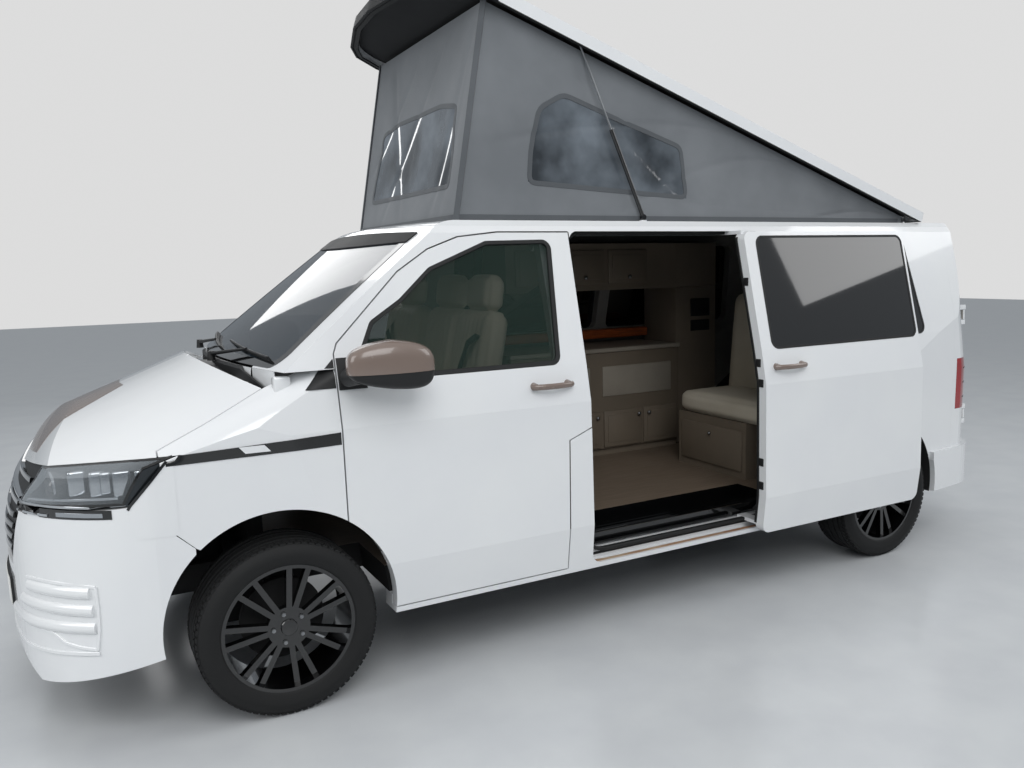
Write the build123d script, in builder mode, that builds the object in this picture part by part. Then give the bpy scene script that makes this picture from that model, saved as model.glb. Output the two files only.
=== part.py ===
"""Long-wheelbase camper van with a raised pop roof and its sliding door open.

Millimetres. +X runs forward, +Y to the left side, +Z up. The origin is on the floor,
at mid-length on the centre plane. The body's outer form is worked out from a few
sections, and each panel is cut from the shell between that form and a thinner one.
"""
import math
import os

from build123d import *

os.makedirs("parts", exist_ok=True)

# Driving sizes of the van
length = 5304
width = 1904
wheelbase = 3400
front_overhang = 944
track = 1628
tyre_radius = 350
tyre_width = 245

front_end = length / 2
rear_end = -length / 2
half_width = width / 2
front_axle_x = front_end - front_overhang
rear_axle_x = front_axle_x - wheelbase
wheel_y = track / 2

# Heights above the floor
sill_z = 324
low_crease_z = 540
crease_z = 1114
belt_z = 1284
door_top_z = 1869
gutter_z = 1902
deck_z = 1925
floor_z = 500
panel_base_z = 352

# How far the side tucks in from the full width at those heights
sill_tuck = 24
crease_tuck = 12
belt_tuck = 48
top_tuck = 193
gutter_tuck = 222
deck_tuck = 246

# Wall thicknesses and gaps between pieces
wall = 60
wing_wall = 50
bonnet_wall = 34
glass = 5
shut_gap = 6
seat_gap = 0.3
screen_skew = 1.25
pane_gap = 0.3
overrun = 40
reach = length

# Plan of the body
nose_x = front_end
cheek_x = 2600
cheek_y = 440
lamp_bow_x = 2440
lamp_bow_y = 730
wing_start_x = 2150
wing_start_y = 900
side_start_x = 1500
side_end_x = -1700
tail_turn_x = -2390
tail_turn_y = 884
tail_bow_x = -2515
tail_bow_y = 806
tail_x = -2575
tail_y = 640
tail_bulge = 14

# Front and rear profiles on the centre plane
bow_x = -1700
cowl_x = 1785
screen_foot_x = 1773
screen_foot_z = 1345
screen_mid_x = 1440
screen_mid_z = 1612
screen_head_x = 1106
screen_head_z = 1867
header_x = 1050
header_z = 1903
deck_front_x = 960
tail_lean_z = 1050
tail_lean = 0.19
chin_z = 650
grille_bow_x = 2618
grille_bow_z = 860
bonnet_lip_x = 2545
bonnet_lip_z = 985
bonnet_bow_x = 2478
bonnet_bow_z = 1085
bonnet_break_x = 2385
bonnet_break_z = 1168
bonnet_slope = 0.40
bay_x = 1250

# Crown of the bonnet and wings, at one station along it
crown_x = 1942
crown_z = 1352
crown_edge_y = 830
crown_edge_z = 1176
shoulder_bow_y = 908
shoulder_bow_z = 1122
shoulder_z = 1010

# Wheel arches
front_arch_radius = 440
front_arch_z = 390
rear_arch_radius = 410
arch_shift = 9
arch_inner_y = 600

# Doors and windows, seen from the side
door_front_x = 1460
door_rear_x = 325
opening_front_x = 318
opening_rear_x = -860
slide_back = 945
slide_out = 112
drop_glass_set = 10
pillar_depth = 46
pillar_gap = 6
pillar_x = 440
post_top_y = 650
door_top_inner_y = 702
strap_heights = (790, 1060)
strap_height = 60
strap_rear_x = 1425
strap_inner_y = 800
strap_outer_y = 900
strap_tip_y = 860
arm_front_x = -640
arm_rear_x = -700
low_arm_y = 840
low_arm_outer_y = 1000
arm_depth = 18
top_arm_y = 690
top_arm_outer_y = 840
slide_arm_rear_x = -1790
slide_arm_length = 50
slide_arm_z = 1050
slide_arm_inner_y = 920
door_length = door_front_x - door_rear_x
door_height = door_top_z - panel_base_z
door_shares = ((0.119, 0), (1, 0), (1, 0.692), (0.986, 0.717), (0.735, 0.895), (0.608, 0.954),
               (0.482, 0.987), (0.315, 1), (0, 1), (0, 0.425), (0.106, 0.394))
door_glass_shares = ((0.116, 0.616), (0.921, 0.616), (0.915, 0.688), (0.861, 0.770), (0.743, 0.824),
                     (0.615, 0.906), (0.371, 0.977), (0.083, 0.980))
slider_glass_shares = ((0.062, 0.616), (0.985, 0.616), (0.985, 0.985), (0.062, 0.985))
quarter_front_x = -925
quarter_rear_x = -2015
quarter_glass_shares = ((0, 0.616), (1, 0.616), (0.93, 0.977), (0, 0.985))
window_round = 45

# Windscreen, seen from the front
screen_foot_y = 800
screen_head_y = 672
screen_base_z = 1352
screen_top_z = 1850
screen_round = 50
screen_glass = 6

# Roof frame and the opening under the pop roof
roof_opening_length = 2150
roof_opening_width = 1180
roof_opening_round = 90

# Rear doors, seen from behind
rear_door_half = 775
rear_door_base_z = 575
rear_door_top_z = 1850
rear_top_gap = 14
rear_hinge_x = -2560
rear_hinge_y = 792
rear_hinge_lean = 0.07
rear_hinge_heights = (740, 1365)
knuckle_radius = 12
leaf_thick = 7
leaf_half = 28
leaf_gap = 4
leaf_inner_y = 660
frame_leaf_y = 782
frame_leaf_outer_y = 806
frame_leaf_length = 62
rear_glass_base_z = 1200
rear_glass_top_z = 1770
rear_glass_inner_y = 70
rear_glass_outer_y = 640
tail_zone_x = -2300
centre_gap = 7
lamp_z = 800
lamp_top_z = 1110
lamp_depth = 55
lamp_front_x = -2335

# Bonnet, headlamps, grille and bumper
bonnet_rear_x = 1725
bonnet_rear_mid_x = 1895
lip_mid_z = 967
lamp_inner_y = 560
lamp_inner_z = 1037
lamp_outer_y = 905
lamp_outer_z = 1082
lamp_base_inner_y = 520
lamp_base_inner_z = 899
lamp_base_outer_y = 872
lamp_base_outer_z = 916
lamp_thick = 70
bezel_z = 862
grille_tip_y = 330
grille_tip_z = 620
grille_depth = 30
seam_low_x = 2021
seam_low_z = 730
seam_high_x = 2209
wing_rear_x = door_front_x + shut_gap
wing_top_z = 1345
bumper_lip_x = 2560
bumper_base_z = 215
bumper_front_z = 300
bumper_rear_z = 331
bumper_wall = 30


# Splits between the body's panels
rail_inner_y = 600
sill_inner_y = 820
rear_sill = 70
rear_door_tuck = 115
rear_hole_depth = 400
rear_glass_tuck = 80
lamp_inset = 15
header_rear_x = 860
opening_mid_x = -560
bonnet_corner_y = 786
bonnet_turn_x = 2120
bonnet_turn_y = 850
grille_set = 12
bumper_top_z = 872
bumper_rear_x = 2156
wing_seam = 3
wing_front_x = 2330

# Mirrors
mirror_x = 1430
mirror_y = 1060
mirror_z = 1300
mirror_depth = 150
mirror_width = 170
mirror_height = 200
mirror_round = 45
mirror_foot_x = 1400
mirror_foot_y = 950
mirror_foot_z = 1250
mirror_foot_length = 90
mirror_foot_width = 120
mirror_foot_height = 50

# Scuttle, bulkhead and floor
scuttle_top_z = 1240
scuttle_lip = 6
scuttle_lip_z = 1345
scuttle_rear_x = 1560
scuttle_rear_mid_x = 1700
scuttle_y = 790
scuttle_gap = 12
bonnet_hinge_x = 1775
bonnet_hinge_z = 1262
bonnet_hinge_y = 650
bonnet_tab_length = 38
bonnet_ear = 10
bonnet_pin = 5
beam_half_y = 500
beam_thick = 30
bumper_bracket_y = 300
bumper_bracket_width = 60
bumper_bracket_length = 85
bumper_bracket_set = 10
post_inner_y = 780
post_outer_y = 822
bulkhead_top_z = 1180
scuttle_base_z = bulkhead_top_z + seat_gap
rail_length = 700
rail_inner = 405
rail_outer = 470
rail_base_z = 430
rail_top_z = 530
floor_base_z = sill_z + wall + seat_gap
floor_rear_x = -2440
floor_half = 836
house_inner_y = 622
house_outer_y = 876
house_thick = 14
front_house_y = 470
sill_core_y = 800
sill_core_outer_y = 872
door_inner_y = 880
step_rear_x = -820
step_front_x = 290
step_inner_y = 640
step_z = 395
step_wall = 6
step_lip_z = 450

# Rear bumper
rear_bumper_base_z = 330
rear_bumper_top_z = 570
rear_bumper_front_x = -2080
bumper_tuck = 4
bumper_out = 25

# Running gear
subframe_length = 400
subframe_half = 380
subframe_z = 215
arm_width = 80
arm_end_y = 735
arm_height = 40
engine_rear_x = 1850
engine_front_x = 2380
engine_half = 380
engine_top_z = 880
engine_round = 60
tow_bar_x = -2430
tow_bar_thick = 60
tow_bar_half = 500
tow_bar_base_z = 284
tow_y = -300
tow_z = 310
tow_boss_radius = 24
tow_boss_length = 50
tow_bore_radius = 11
tow_depth = 60
beam_half = 640
beam_radius = 30
stub_radius = 34
disc_radius = 165
disc_thick = 22
disc_y = 762
trailing_inner_y = 500
trailing_outer_y = 580
trailing_front_x = -1250
tank_rear_x = -900
tank_front_x = -300
tank_half = 350
tank_base_z = 230
tank_round = 30
kingpin_y = 740
knuckle_inner_y = 662
knuckle_thick = 40
knuckle_length = 90
knuckle_base_z = 262
knuckle_top_z = 480
pin_radius = 12

# Tyres and rims
rim_radius = 256
bead_set = 20
sidewall_radius = 300
shoulder_radius = 333
shoulder_set = 12
tread_drop = 5
tread_set = 18
tread_half = 96
rim_half = 105
rim_thick = 14
rim_face_y = 84
hub_radius = 82
spoke_count = 7
spoke_fork = 9
spoke_mid = 150
spoke_length = 190
spoke_width = 22
spoke_depth = 34
stub_half = wheel_y + rim_face_y - spoke_depth - seat_gap
bolt_circle = 120
bolt_count = 5
bolt_hole_radius = 8

# Pop roof, its fabric and its struts
roof_angle = 18
roof_hinge_x = -2150
roof_hinge_z = 1950
roof_tail = 20
roof_half = 728
roof_side_end = 2960
roof_corner_x = 3088
roof_corner_y = 684
roof_bow_x = 3152
roof_bow_y = 575
roof_front_x = 3225
roof_front_y = 290
roof_length = 3245
roof_skirt = 15
roof_crown = 40
roof_wall = 18
roof_ear_y = 600
roof_ear_width = 20
roof_ear_radius = 12
roof_pin = 6
roof_notch = 4
roof_tab = 16
tent_rear_x = -2080
tent_front_x = 835
tent_lean = 0.18
tent_half = 668
canvas_thick = 6
strut_y = 688
strut_foot_x = -150
strut_foot_z = 1945
strut_length = 836.8
strut_angle = 65.6
strut_tube_radius = 10
strut_tube_length = 432
strut_rod_radius = 5
strut_rod_length = 430
strut_play = 1
strut_wall = 4
strut_eye_radius = 10
strut_eye_width = 16

# Cab fittings
driver_y = 430
dash_rear_x = 1240
dash_front_x = 1590
dash_base_z = 870
dash_brow_z = 1190
dash_top_z = 1280
wheel_hub_x = 1180
wheel_hub_z = 1140
wheel_rake = 0.7
steering_radius = 190
steering_grip = 14
column_length = 200
seat_width = 480
bench_seat_y = 320
double_width = 760
seat_rear_x = 560
seat_depth = 620
seat_base_z = 850
seat_height = 850
seat_base_set = 40
seat_round = 18
seat_shares = ((0.12, 0), (1, 0), (1, 0.17), (0.36, 0.17), (0.18, 0.72), (0.20, 0.98), (0.06, 1), (0, 0.72))

# Camping furniture
kitchen_rear_x = -1200
kitchen_front_x = 60
kitchen_inner_y = 400
kitchen_outer_y = 860
worktop_z = 1190
kitchen_door_x = (-150, -480, -810)
kitchen_door_z = 800
kitchen_door_width = 290
kitchen_door_height = 420
kitchen_door_round = 20
kitchen_groove = 4
locker_inner_y = 400
locker_base_z = 1560
locker_top_z = 1850
bench_front_x = -900
bench_rear_x = -1560
bench_inner_y = 20
bench_outer_y = 615
bench_top_z = 825
bench_cushion = 125
bench_cushion_outer_y = 800
bench_lap = 20
bench_back_x = -1420
bench_back_thick = 120
bench_back_z = 1520
cushion_round = 25


def placed(shares, start_x, span_x, start_z, span_z):
    """Turn shares of a box into points."""
    return [(start_x + sx * span_x, start_z + sz * span_z) for sx, sz in shares]


def inward(point, inset, facing):
    """Move a point in by the inset, against the direction that its surface faces."""
    turn = math.radians(facing)
    return (point[0] - inset * math.cos(turn), point[1] - inset * math.sin(turn))


def cross_section(inset):
    """Section of the cabin across the van, smaller by the inset."""
    with BuildSketch(Plane.YZ.offset(rear_end)) as section:
        with BuildLine():
            Polyline(
                (0, sill_z + inset),
                (half_width - sill_tuck - inset, sill_z + inset),
                (half_width - inset, low_crease_z),
                (half_width - crease_tuck - inset, crease_z),
                (half_width - belt_tuck - inset, belt_z),
                (half_width - top_tuck - inset, door_top_z - inset / 2),
                (half_width - gutter_tuck - inset, gutter_z - inset),
                (half_width - deck_tuck - inset, deck_z - inset),
                (0, deck_z - inset),
            )
            mirror(about=Plane.YZ)
        make_face()
    return section.sketch


def plan_outline(inset, height):
    """Outline of the body from above, smaller by the inset."""
    cheek = inward((cheek_x, cheek_y), inset, 15)
    lamp_bow = inward((lamp_bow_x, lamp_bow_y), inset, 50)
    wing_start = inward((wing_start_x, wing_start_y), inset, 75)
    side_start = inward((side_start_x, half_width), inset, 90)
    side_end = inward((side_end_x, half_width), inset, 90)
    tail_turn = inward((tail_turn_x, tail_turn_y), inset, 105)
    tail_bow = inward((tail_bow_x, tail_bow_y), inset, 140)
    tail_corner = inward((tail_x, tail_y), inset, 175)
    with BuildSketch(Plane.XY.offset(height)) as plan:
        with BuildLine():
            ThreePointArc((cheek[0], -cheek[1]), (nose_x - inset, 0), cheek)
            ThreePointArc(cheek, lamp_bow, wing_start)
            Polyline(wing_start, side_start, side_end, tail_turn)
            ThreePointArc(tail_turn, tail_bow, tail_corner)
            Polyline(tail_corner, (tail_x - tail_bulge + inset, 0), (tail_corner[0], -tail_corner[1]))
            ThreePointArc((tail_turn[0], -tail_turn[1]), (tail_bow[0], -tail_bow[1]),
                          (tail_corner[0], -tail_corner[1]))
            Polyline(*[(x, -y) for x, y in (wing_start, side_start, side_end, tail_turn)])
            ThreePointArc((cheek[0], -cheek[1]), (lamp_bow[0], -lamp_bow[1]),
                          (wing_start[0], -wing_start[1]))
        make_face()
    return plan.sketch


def plan_form(inset):
    """Plan outline upright to the waist, then leaning forward with the tail."""
    with BuildPart() as form:
        extrude(plan_outline(inset, 0), amount=tail_lean_z)
        extrude(plan_outline(inset, tail_lean_z), amount=reach, dir=(tail_lean, 0, 1))
    return form.part


def cabin_form(inset):
    """Cabin and load space as one block, smaller by the inset."""
    back = inset * screen_skew
    foot_x, mid_x, head_x = screen_foot_x - back, screen_mid_x - back, screen_head_x - back
    wall_x = cowl_x - inset
    with BuildPart() as form:
        extrude(cross_section(inset), amount=reach)
        with BuildSketch(Plane.XZ) as profile:
            with BuildLine():
                Line((bow_x, 0), (wall_x, 0))
                Line((wall_x, 0), (wall_x, screen_foot_z - (wall_x - foot_x)))
                Line((wall_x, screen_foot_z - (wall_x - foot_x)), (foot_x, screen_foot_z))
                ThreePointArc((foot_x, screen_foot_z), (mid_x, screen_mid_z), (head_x, screen_head_z))
                ThreePointArc((head_x, screen_head_z), (header_x - back, header_z),
                              (deck_front_x - back, deck_z))
                Line((deck_front_x - back, deck_z), (bow_x, deck_z + overrun))
                Line((bow_x, deck_z + overrun), (bow_x, 0))
            make_face()
        revolve(axis=Axis((bow_x, 0, 0), (0, 0, 1)), mode=Mode.INTERSECT)
        add(plan_form(inset), mode=Mode.INTERSECT)
    return form.part


def front_form(inset):
    """Nose, bonnet and wings as one block, smaller by the inset."""
    crown = Plane((crown_x, 0, 0), x_dir=(0, 1, 0), z_dir=(1, 0, 0))
    shoulder_bow = inward((shoulder_bow_y, shoulder_bow_z), inset, 45)
    crown_edge = inward((crown_edge_y, crown_edge_z), inset, 70)
    with BuildPart() as form:
        with BuildSketch(crown) as section:
            with BuildLine():
                Polyline((0, -reach), (half_width - inset, -reach), (half_width - inset, shoulder_z))
                ThreePointArc((half_width - inset, shoulder_z), shoulder_bow, crown_edge)
                ThreePointArc(crown_edge, (crown_edge_y / 2, crown_z - inset - (crown_z - crown_edge_z) / 4),
                              (0, crown_z - inset))
                mirror(about=Plane.YZ)
            make_face()
        extrude(amount=front_end, dir=(1, 0, -bonnet_slope))
        extrude(section.sketch, amount=front_end, dir=(-1, 0, bonnet_slope))
        with BuildSketch(Plane.XZ) as profile:
            with BuildLine():
                Polyline((bay_x, 0), (nose_x - inset, 0), (nose_x - inset, chin_z))
                ThreePointArc((nose_x - inset, chin_z), (grille_bow_x - inset, grille_bow_z),
                              (bonnet_lip_x - inset, bonnet_lip_z))
                ThreePointArc((bonnet_lip_x - inset, bonnet_lip_z), (bonnet_bow_x - inset, bonnet_bow_z),
                              (bonnet_break_x - inset, bonnet_break_z))
                Polyline((bonnet_break_x - inset, bonnet_break_z), (bay_x, deck_z), (bay_x, 0))
            make_face()
        revolve(axis=Axis((bow_x, 0, 0), (0, 0, 1)), mode=Mode.INTERSECT)
        add(plan_form(inset), mode=Mode.INTERSECT)
        with BuildSketch(Plane.YZ.offset(rear_end)) as sides:
            with BuildLine():
                Polyline(
                    (0, 0),
                    (half_width - sill_tuck - inset, 0),
                    (half_width - sill_tuck - inset, sill_z),
                    (half_width - inset, low_crease_z),
                    (half_width - crease_tuck - inset, crease_z),
                    (half_width - belt_tuck - inset, belt_z),
                    (half_width - top_tuck - inset, door_top_z),
                    (0, door_top_z),
                )
                mirror(about=Plane.YZ)
            make_face()
        extrude(amount=2 * length, mode=Mode.INTERSECT)
    return form.part


def side_sketch(shares, start_x, span_x, rounding=0):
    """Outline on the side of the van, from shares of the door's height."""
    with BuildSketch(Plane.XZ) as outline:
        with BuildLine():
            Polyline(*placed(shares, start_x, span_x, panel_base_z, door_height), close=True)
        make_face()
        if rounding:
            fillet(outline.vertices(), rounding)
    return outline.sketch


def arch_cut(side):
    """Round clearances above the front and rear wheels on one side."""
    with BuildPart() as cut:
        for x, radius in ((front_axle_x + arch_shift, front_arch_radius), (rear_axle_x, rear_arch_radius)):
            with BuildSketch(Plane.XZ.offset(-side * width)) as ring:
                with Locations((x, front_arch_z)):
                    Circle(radius)
                with Locations((x, 0)):
                    Rectangle(2 * radius, front_arch_z)
            extrude(amount=side * (width - arch_inner_y))
    return cut.part


def write(part, name):
    """Label a finished piece and write it."""
    part.label = name
    export_step(part, f"parts/{name}.step")


cabin = cabin_form(0)
cabin_inner = cabin_form(wall)
lined = cabin_form(wall + seat_gap)
outside_cabin = cabin_form(-seat_gap)
front = front_form(0)
door_sketch = side_sketch(door_shares, door_rear_x, door_length)
door_glass_sketch = side_sketch(door_glass_shares, door_rear_x, door_length, window_round)
slider_span = opening_rear_x - opening_front_x
slider_sketch = side_sketch(((0, 0), (1, 0), (1, 1), (0, 1)), opening_front_x, slider_span, window_round)
slider_glass_sketch = side_sketch(slider_glass_shares, opening_front_x, slider_span, window_round)
quarter_glass_sketch = side_sketch(quarter_glass_shares, quarter_front_x, quarter_rear_x - quarter_front_x,
                                   window_round)

with BuildPart() as cabin_shell:
    add(cabin)
    add(cabin_inner, mode=Mode.SUBTRACT)

with BuildPart() as front_shell:
    add(front)
    add(front_form(wing_wall), mode=Mode.SUBTRACT)

with BuildPart() as flush_skin:
    add(cabin)
    add(cabin_form(glass), mode=Mode.SUBTRACT)

with BuildPart() as drop_skin:
    add(cabin_form(drop_glass_set))
    add(cabin_form(drop_glass_set + glass), mode=Mode.SUBTRACT)

with BuildPart() as pillar_skin:
    add(cabin_form(wall + pillar_gap))
    add(cabin_form(wall + pillar_gap + pillar_depth), mode=Mode.SUBTRACT)

# Windscreen opening, seen from the front
with BuildSketch(Plane.YZ.offset(bay_x / 2)) as screen_sketch:
    with BuildLine():
        Polyline((-screen_foot_y, screen_base_z), (screen_foot_y, screen_base_z),
                 (screen_head_y, screen_top_z),
                 (-screen_head_y, screen_top_z), close=True)
    make_face()
    fillet(screen_sketch.vertices(), screen_round)


def block(low, high):
    """Upright block between two corners."""
    with BuildPart() as made:
        with Locations([tuple((a + b) / 2 for a, b in zip(low, high))]):
            Box(*[abs(b - a) for a, b in zip(low, high)])
    return made.part


def grown(sketch, gap):
    """A sketch made larger by a gap, or smaller by a negative one."""
    return offset(sketch, amount=gap, mode=Mode.PRIVATE)


def side_zone(side):
    """The band along one side that the body side is cut from."""
    with BuildPart() as zone:
        with BuildSketch(Plane.XZ.offset(-side * rail_inner_y)) as band:
            with BuildLine():
                Polyline((tail_zone_x, 0), (wing_rear_x, 0), (wing_rear_x, wing_top_z), (cowl_x, wing_top_z),
                         (cowl_x, gutter_z), (tail_zone_x, gutter_z), close=True)
            make_face()
        extrude(amount=-side * width)
        low = block((tail_zone_x, 0, 0), (cowl_x, side * sill_inner_y, sill_z + wall + overrun))
        add(low, mode=Mode.SUBTRACT)
    return zone.part


# Body sides, with the pillars, sills and rear quarters
for side, name in ((1, "left"), (-1, "right")):
    with BuildPart() as body_side:
        add(cabin_shell.part)
        add(side_zone(side), mode=Mode.INTERSECT)
        extrude(grown(door_sketch, shut_gap), amount=width, both=True, mode=Mode.SUBTRACT)
        if side == 1:
            extrude(grown(slider_sketch, shut_gap), amount=width, both=True, mode=Mode.SUBTRACT)
        else:
            extrude(slider_glass_sketch, amount=width, both=True, mode=Mode.SUBTRACT)
        extrude(quarter_glass_sketch, amount=width, both=True, mode=Mode.SUBTRACT)
        extrude(screen_sketch.sketch, amount=length, mode=Mode.SUBTRACT)
        add(block((rear_axle_x, side * sill_core_y, sill_z),
                  (front_axle_x, side * sill_core_outer_y, sill_z + wall)))
        add(arch_cut(side), mode=Mode.SUBTRACT)
        with BuildPart(mode=Mode.PRIVATE) as pillar:
            add(pillar_skin.part)
            add(block((opening_front_x, side * rail_inner_y, floor_z), (pillar_x, side * width, gutter_z)),
                mode=Mode.INTERSECT)
        add(pillar.part)
        add(block((opening_front_x, side * sill_core_y, sill_z),
                  (pillar_x, side * sill_core_outer_y, floor_z + wall)))
        add(block((opening_front_x, side * rail_inner_y, door_top_z - wall),
                  (pillar_x, side * post_top_y, gutter_z)))
    write(body_side.part, f"body_side_{name}")

def rear_hinge_at(z):
    """How far back the leaning hinge line of a rear door is at a height."""
    return rear_hinge_x + rear_hinge_lean * (z - rear_door_base_z)


def rear_knuckle(side, z, half):
    """Round hinge knuckle of a rear door, along its leaning hinge line."""
    line = Plane((rear_hinge_at(z), side * rear_hinge_y, z), x_dir=(0, 1, 0), z_dir=(rear_hinge_lean, 0, 1))
    with BuildPart() as knuckle:
        with BuildSketch(line) as ring:
            Circle(knuckle_radius)
        extrude(amount=half, both=True)
    return knuckle.part


# Rear frame around the two rear doors, with the lamp recesses
with BuildSketch(Plane.YZ.offset(rear_end)) as rear_hole:
    with BuildLine():
        Polyline((-rear_door_half, rear_door_base_z), (rear_door_half, rear_door_base_z),
                 (rear_door_half, belt_z), (rear_door_half - rear_door_tuck, rear_door_top_z),
                 (-rear_door_half + rear_door_tuck, rear_door_top_z), (-rear_door_half, belt_z), close=True)
    make_face()
with BuildPart() as lamp_zone:
    for side in (1, -1):
        add(block((rear_end, side * (rear_door_half + lamp_inset), lamp_z),
                  (lamp_front_x, side * width, lamp_top_z)))
with BuildPart() as rear_frame:
    add(cabin_shell.part)
    add(block((rear_end, -width, 0), (tail_zone_x - seat_gap, width, gutter_z)), mode=Mode.INTERSECT)
    add(block((rear_end, -sill_inner_y, 0), (tail_zone_x, sill_inner_y, rear_door_base_z - rear_sill)),
        mode=Mode.SUBTRACT)
    extrude(rear_hole.sketch, amount=rear_hole_depth, mode=Mode.SUBTRACT)
    add(lamp_zone.part, mode=Mode.SUBTRACT)
    for side in (1, -1):
        for z in rear_hinge_heights:
            for end in (1, -1):
                leaf_z = z + end * (leaf_half * 3 / 2 + leaf_gap)
                add(rear_knuckle(side, leaf_z, leaf_half / 2))
                add(block((rear_hinge_at(z) - leaf_thick, side * frame_leaf_y, leaf_z - leaf_half / 2),
                          (rear_hinge_at(z) + frame_leaf_length, side * frame_leaf_outer_y,
                           leaf_z + leaf_half / 2)))
write(rear_frame.part, "rear_frame")

with BuildPart() as tail_lamps:
    add(cabin)
    add(cabin_form(lamp_depth), mode=Mode.SUBTRACT)
    with BuildPart(mode=Mode.PRIVATE) as lens_zone:
        for side in (1, -1):
            add(block((rear_end, side * (rear_door_half + lamp_inset + seat_gap), lamp_z + seat_gap),
                      (lamp_front_x - seat_gap, side * width, lamp_top_z - seat_gap)))
    add(lens_zone.part, mode=Mode.INTERSECT)
write(tail_lamps.part, "tail_lamps")

# Rear doors and their glass
for side, name in ((1, "left"), (-1, "right")):
    with BuildSketch(Plane.YZ.offset(rear_end)) as leaf:
        with BuildLine():
            outer = rear_door_half - shut_gap
            Polyline((side * centre_gap, rear_door_base_z + shut_gap),
                     (side * outer, rear_door_base_z + shut_gap),
                     (side * outer, belt_z), (side * (outer - rear_door_tuck),
                                              rear_door_top_z - rear_top_gap),
                     (side * centre_gap, rear_door_top_z - rear_top_gap), close=True)
        make_face()
    with BuildSketch(Plane.YZ.offset(rear_end)) as pane:
        with BuildLine():
            Polyline((side * rear_glass_inner_y, rear_glass_base_z),
                     (side * rear_glass_outer_y, rear_glass_base_z),
                     (side * (rear_glass_outer_y - rear_glass_tuck), rear_glass_top_z),
                     (side * rear_glass_inner_y, rear_glass_top_z), close=True)
        make_face()
        fillet(pane.vertices(), window_round)
    with BuildPart() as rear_door:
        add(cabin_shell.part)
        extrude(leaf.sketch, amount=rear_hole_depth, mode=Mode.INTERSECT)
        extrude(pane.sketch, amount=rear_hole_depth, mode=Mode.SUBTRACT)
        for z in rear_hinge_heights:
            add(rear_knuckle(side, z, leaf_half))
            add(block((rear_hinge_at(z) - leaf_thick, side * leaf_inner_y, z - leaf_half),
                      (rear_hinge_at(z) + leaf_thick, side * rear_hinge_y, z + leaf_half)))
    write(rear_door.part, f"rear_door_{name}")
    with BuildPart() as rear_pane:
        add(flush_skin.part)
        extrude(grown(pane.sketch, -pane_gap), amount=rear_hole_depth, mode=Mode.INTERSECT)
    write(rear_pane.part, f"rear_glass_{name}")

# Roof frame with the opening under the pop roof
with BuildPart() as roof_frame:
    add(cabin_shell.part)
    with BuildPart(mode=Mode.PRIVATE) as roof_zone:
        add(block((rear_end, -width, gutter_z + seat_gap), (front_end, width, length)))
        add(block((header_rear_x, -rail_inner_y + seat_gap, screen_top_z - wall),
                  (front_end, rail_inner_y - seat_gap, length)))
    add(roof_zone.part, mode=Mode.INTERSECT)
    extrude(screen_sketch.sketch, amount=length, mode=Mode.SUBTRACT)
    with BuildSketch(Plane.XY) as roof_hole:
        with Locations((opening_mid_x, 0)):
            RectangleRounded(roof_opening_length, roof_opening_width, roof_opening_round)
    extrude(amount=length, mode=Mode.SUBTRACT)
    for side in (1, -1):
        add(block((strut_foot_x - strut_eye_width, side * (strut_y - strut_eye_width / 2),
                   deck_z - roof_wall),
                  (strut_foot_x + strut_eye_width, side * (strut_y + strut_eye_width / 2),
                   strut_foot_z - strut_eye_radius - strut_wall - seat_gap)))
        ear_y = roof_ear_y - roof_ear_width / 2
        add(block((roof_hinge_x, side * ear_y, deck_z - roof_wall),
                  (roof_hinge_x + roof_ear_radius, side * (ear_y + roof_ear_width), roof_hinge_z)))
        with BuildSketch(Plane.XZ.offset(-side * ear_y)) as ear:
            with Locations((roof_hinge_x, roof_hinge_z)):
                Circle(roof_ear_radius)
        extrude(amount=-side * roof_ear_width)
    with BuildSketch(Plane.XZ) as ear_bore:
        with Locations((roof_hinge_x, roof_hinge_z)):
            Circle(roof_pin + seat_gap)
    extrude(amount=roof_half, both=True, mode=Mode.SUBTRACT)
write(roof_frame.part, "roof_frame")

# Windscreen and the fixed side windows
with BuildPart() as windscreen:
    add(cabin)
    add(cabin_form(screen_glass), mode=Mode.SUBTRACT)
    extrude(grown(screen_sketch.sketch, -pane_gap), amount=length, mode=Mode.INTERSECT)
write(windscreen.part, "windscreen")

with BuildPart() as sliding_door:
    add(cabin_shell.part)
    add(block((rear_end, door_inner_y, 0), (front_end, -width, floor_z)), mode=Mode.SUBTRACT)
    add(block((rear_end, door_top_inner_y, 0), (front_end, -width, length)), mode=Mode.SUBTRACT)
    extrude(slider_sketch, amount=-width, mode=Mode.INTERSECT)
    extrude(slider_glass_sketch, amount=-width, mode=Mode.SUBTRACT)
with BuildPart() as open_door:
    add(sliding_door.part.moved(Location((-slide_back, slide_out, 0))))
    add(block((arm_rear_x, low_arm_y, sill_z + wall + seat_gap),
              (arm_front_x, low_arm_outer_y, sill_z + wall + arm_depth)))
    add(block((arm_rear_x, top_arm_y, door_top_z + shut_gap - arm_depth),
              (arm_front_x, top_arm_outer_y, door_top_z + shut_gap - seat_gap)))
    with BuildPart(mode=Mode.PRIVATE) as slide_arm:
        add(block((slide_arm_rear_x, slide_arm_inner_y, slide_arm_z),
                  (slide_arm_rear_x + slide_arm_length, low_arm_outer_y, slide_arm_z + arm_depth)))
        add(outside_cabin, mode=Mode.SUBTRACT)
    add(slide_arm.part)
write(open_door.part, "sliding_door")

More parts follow.
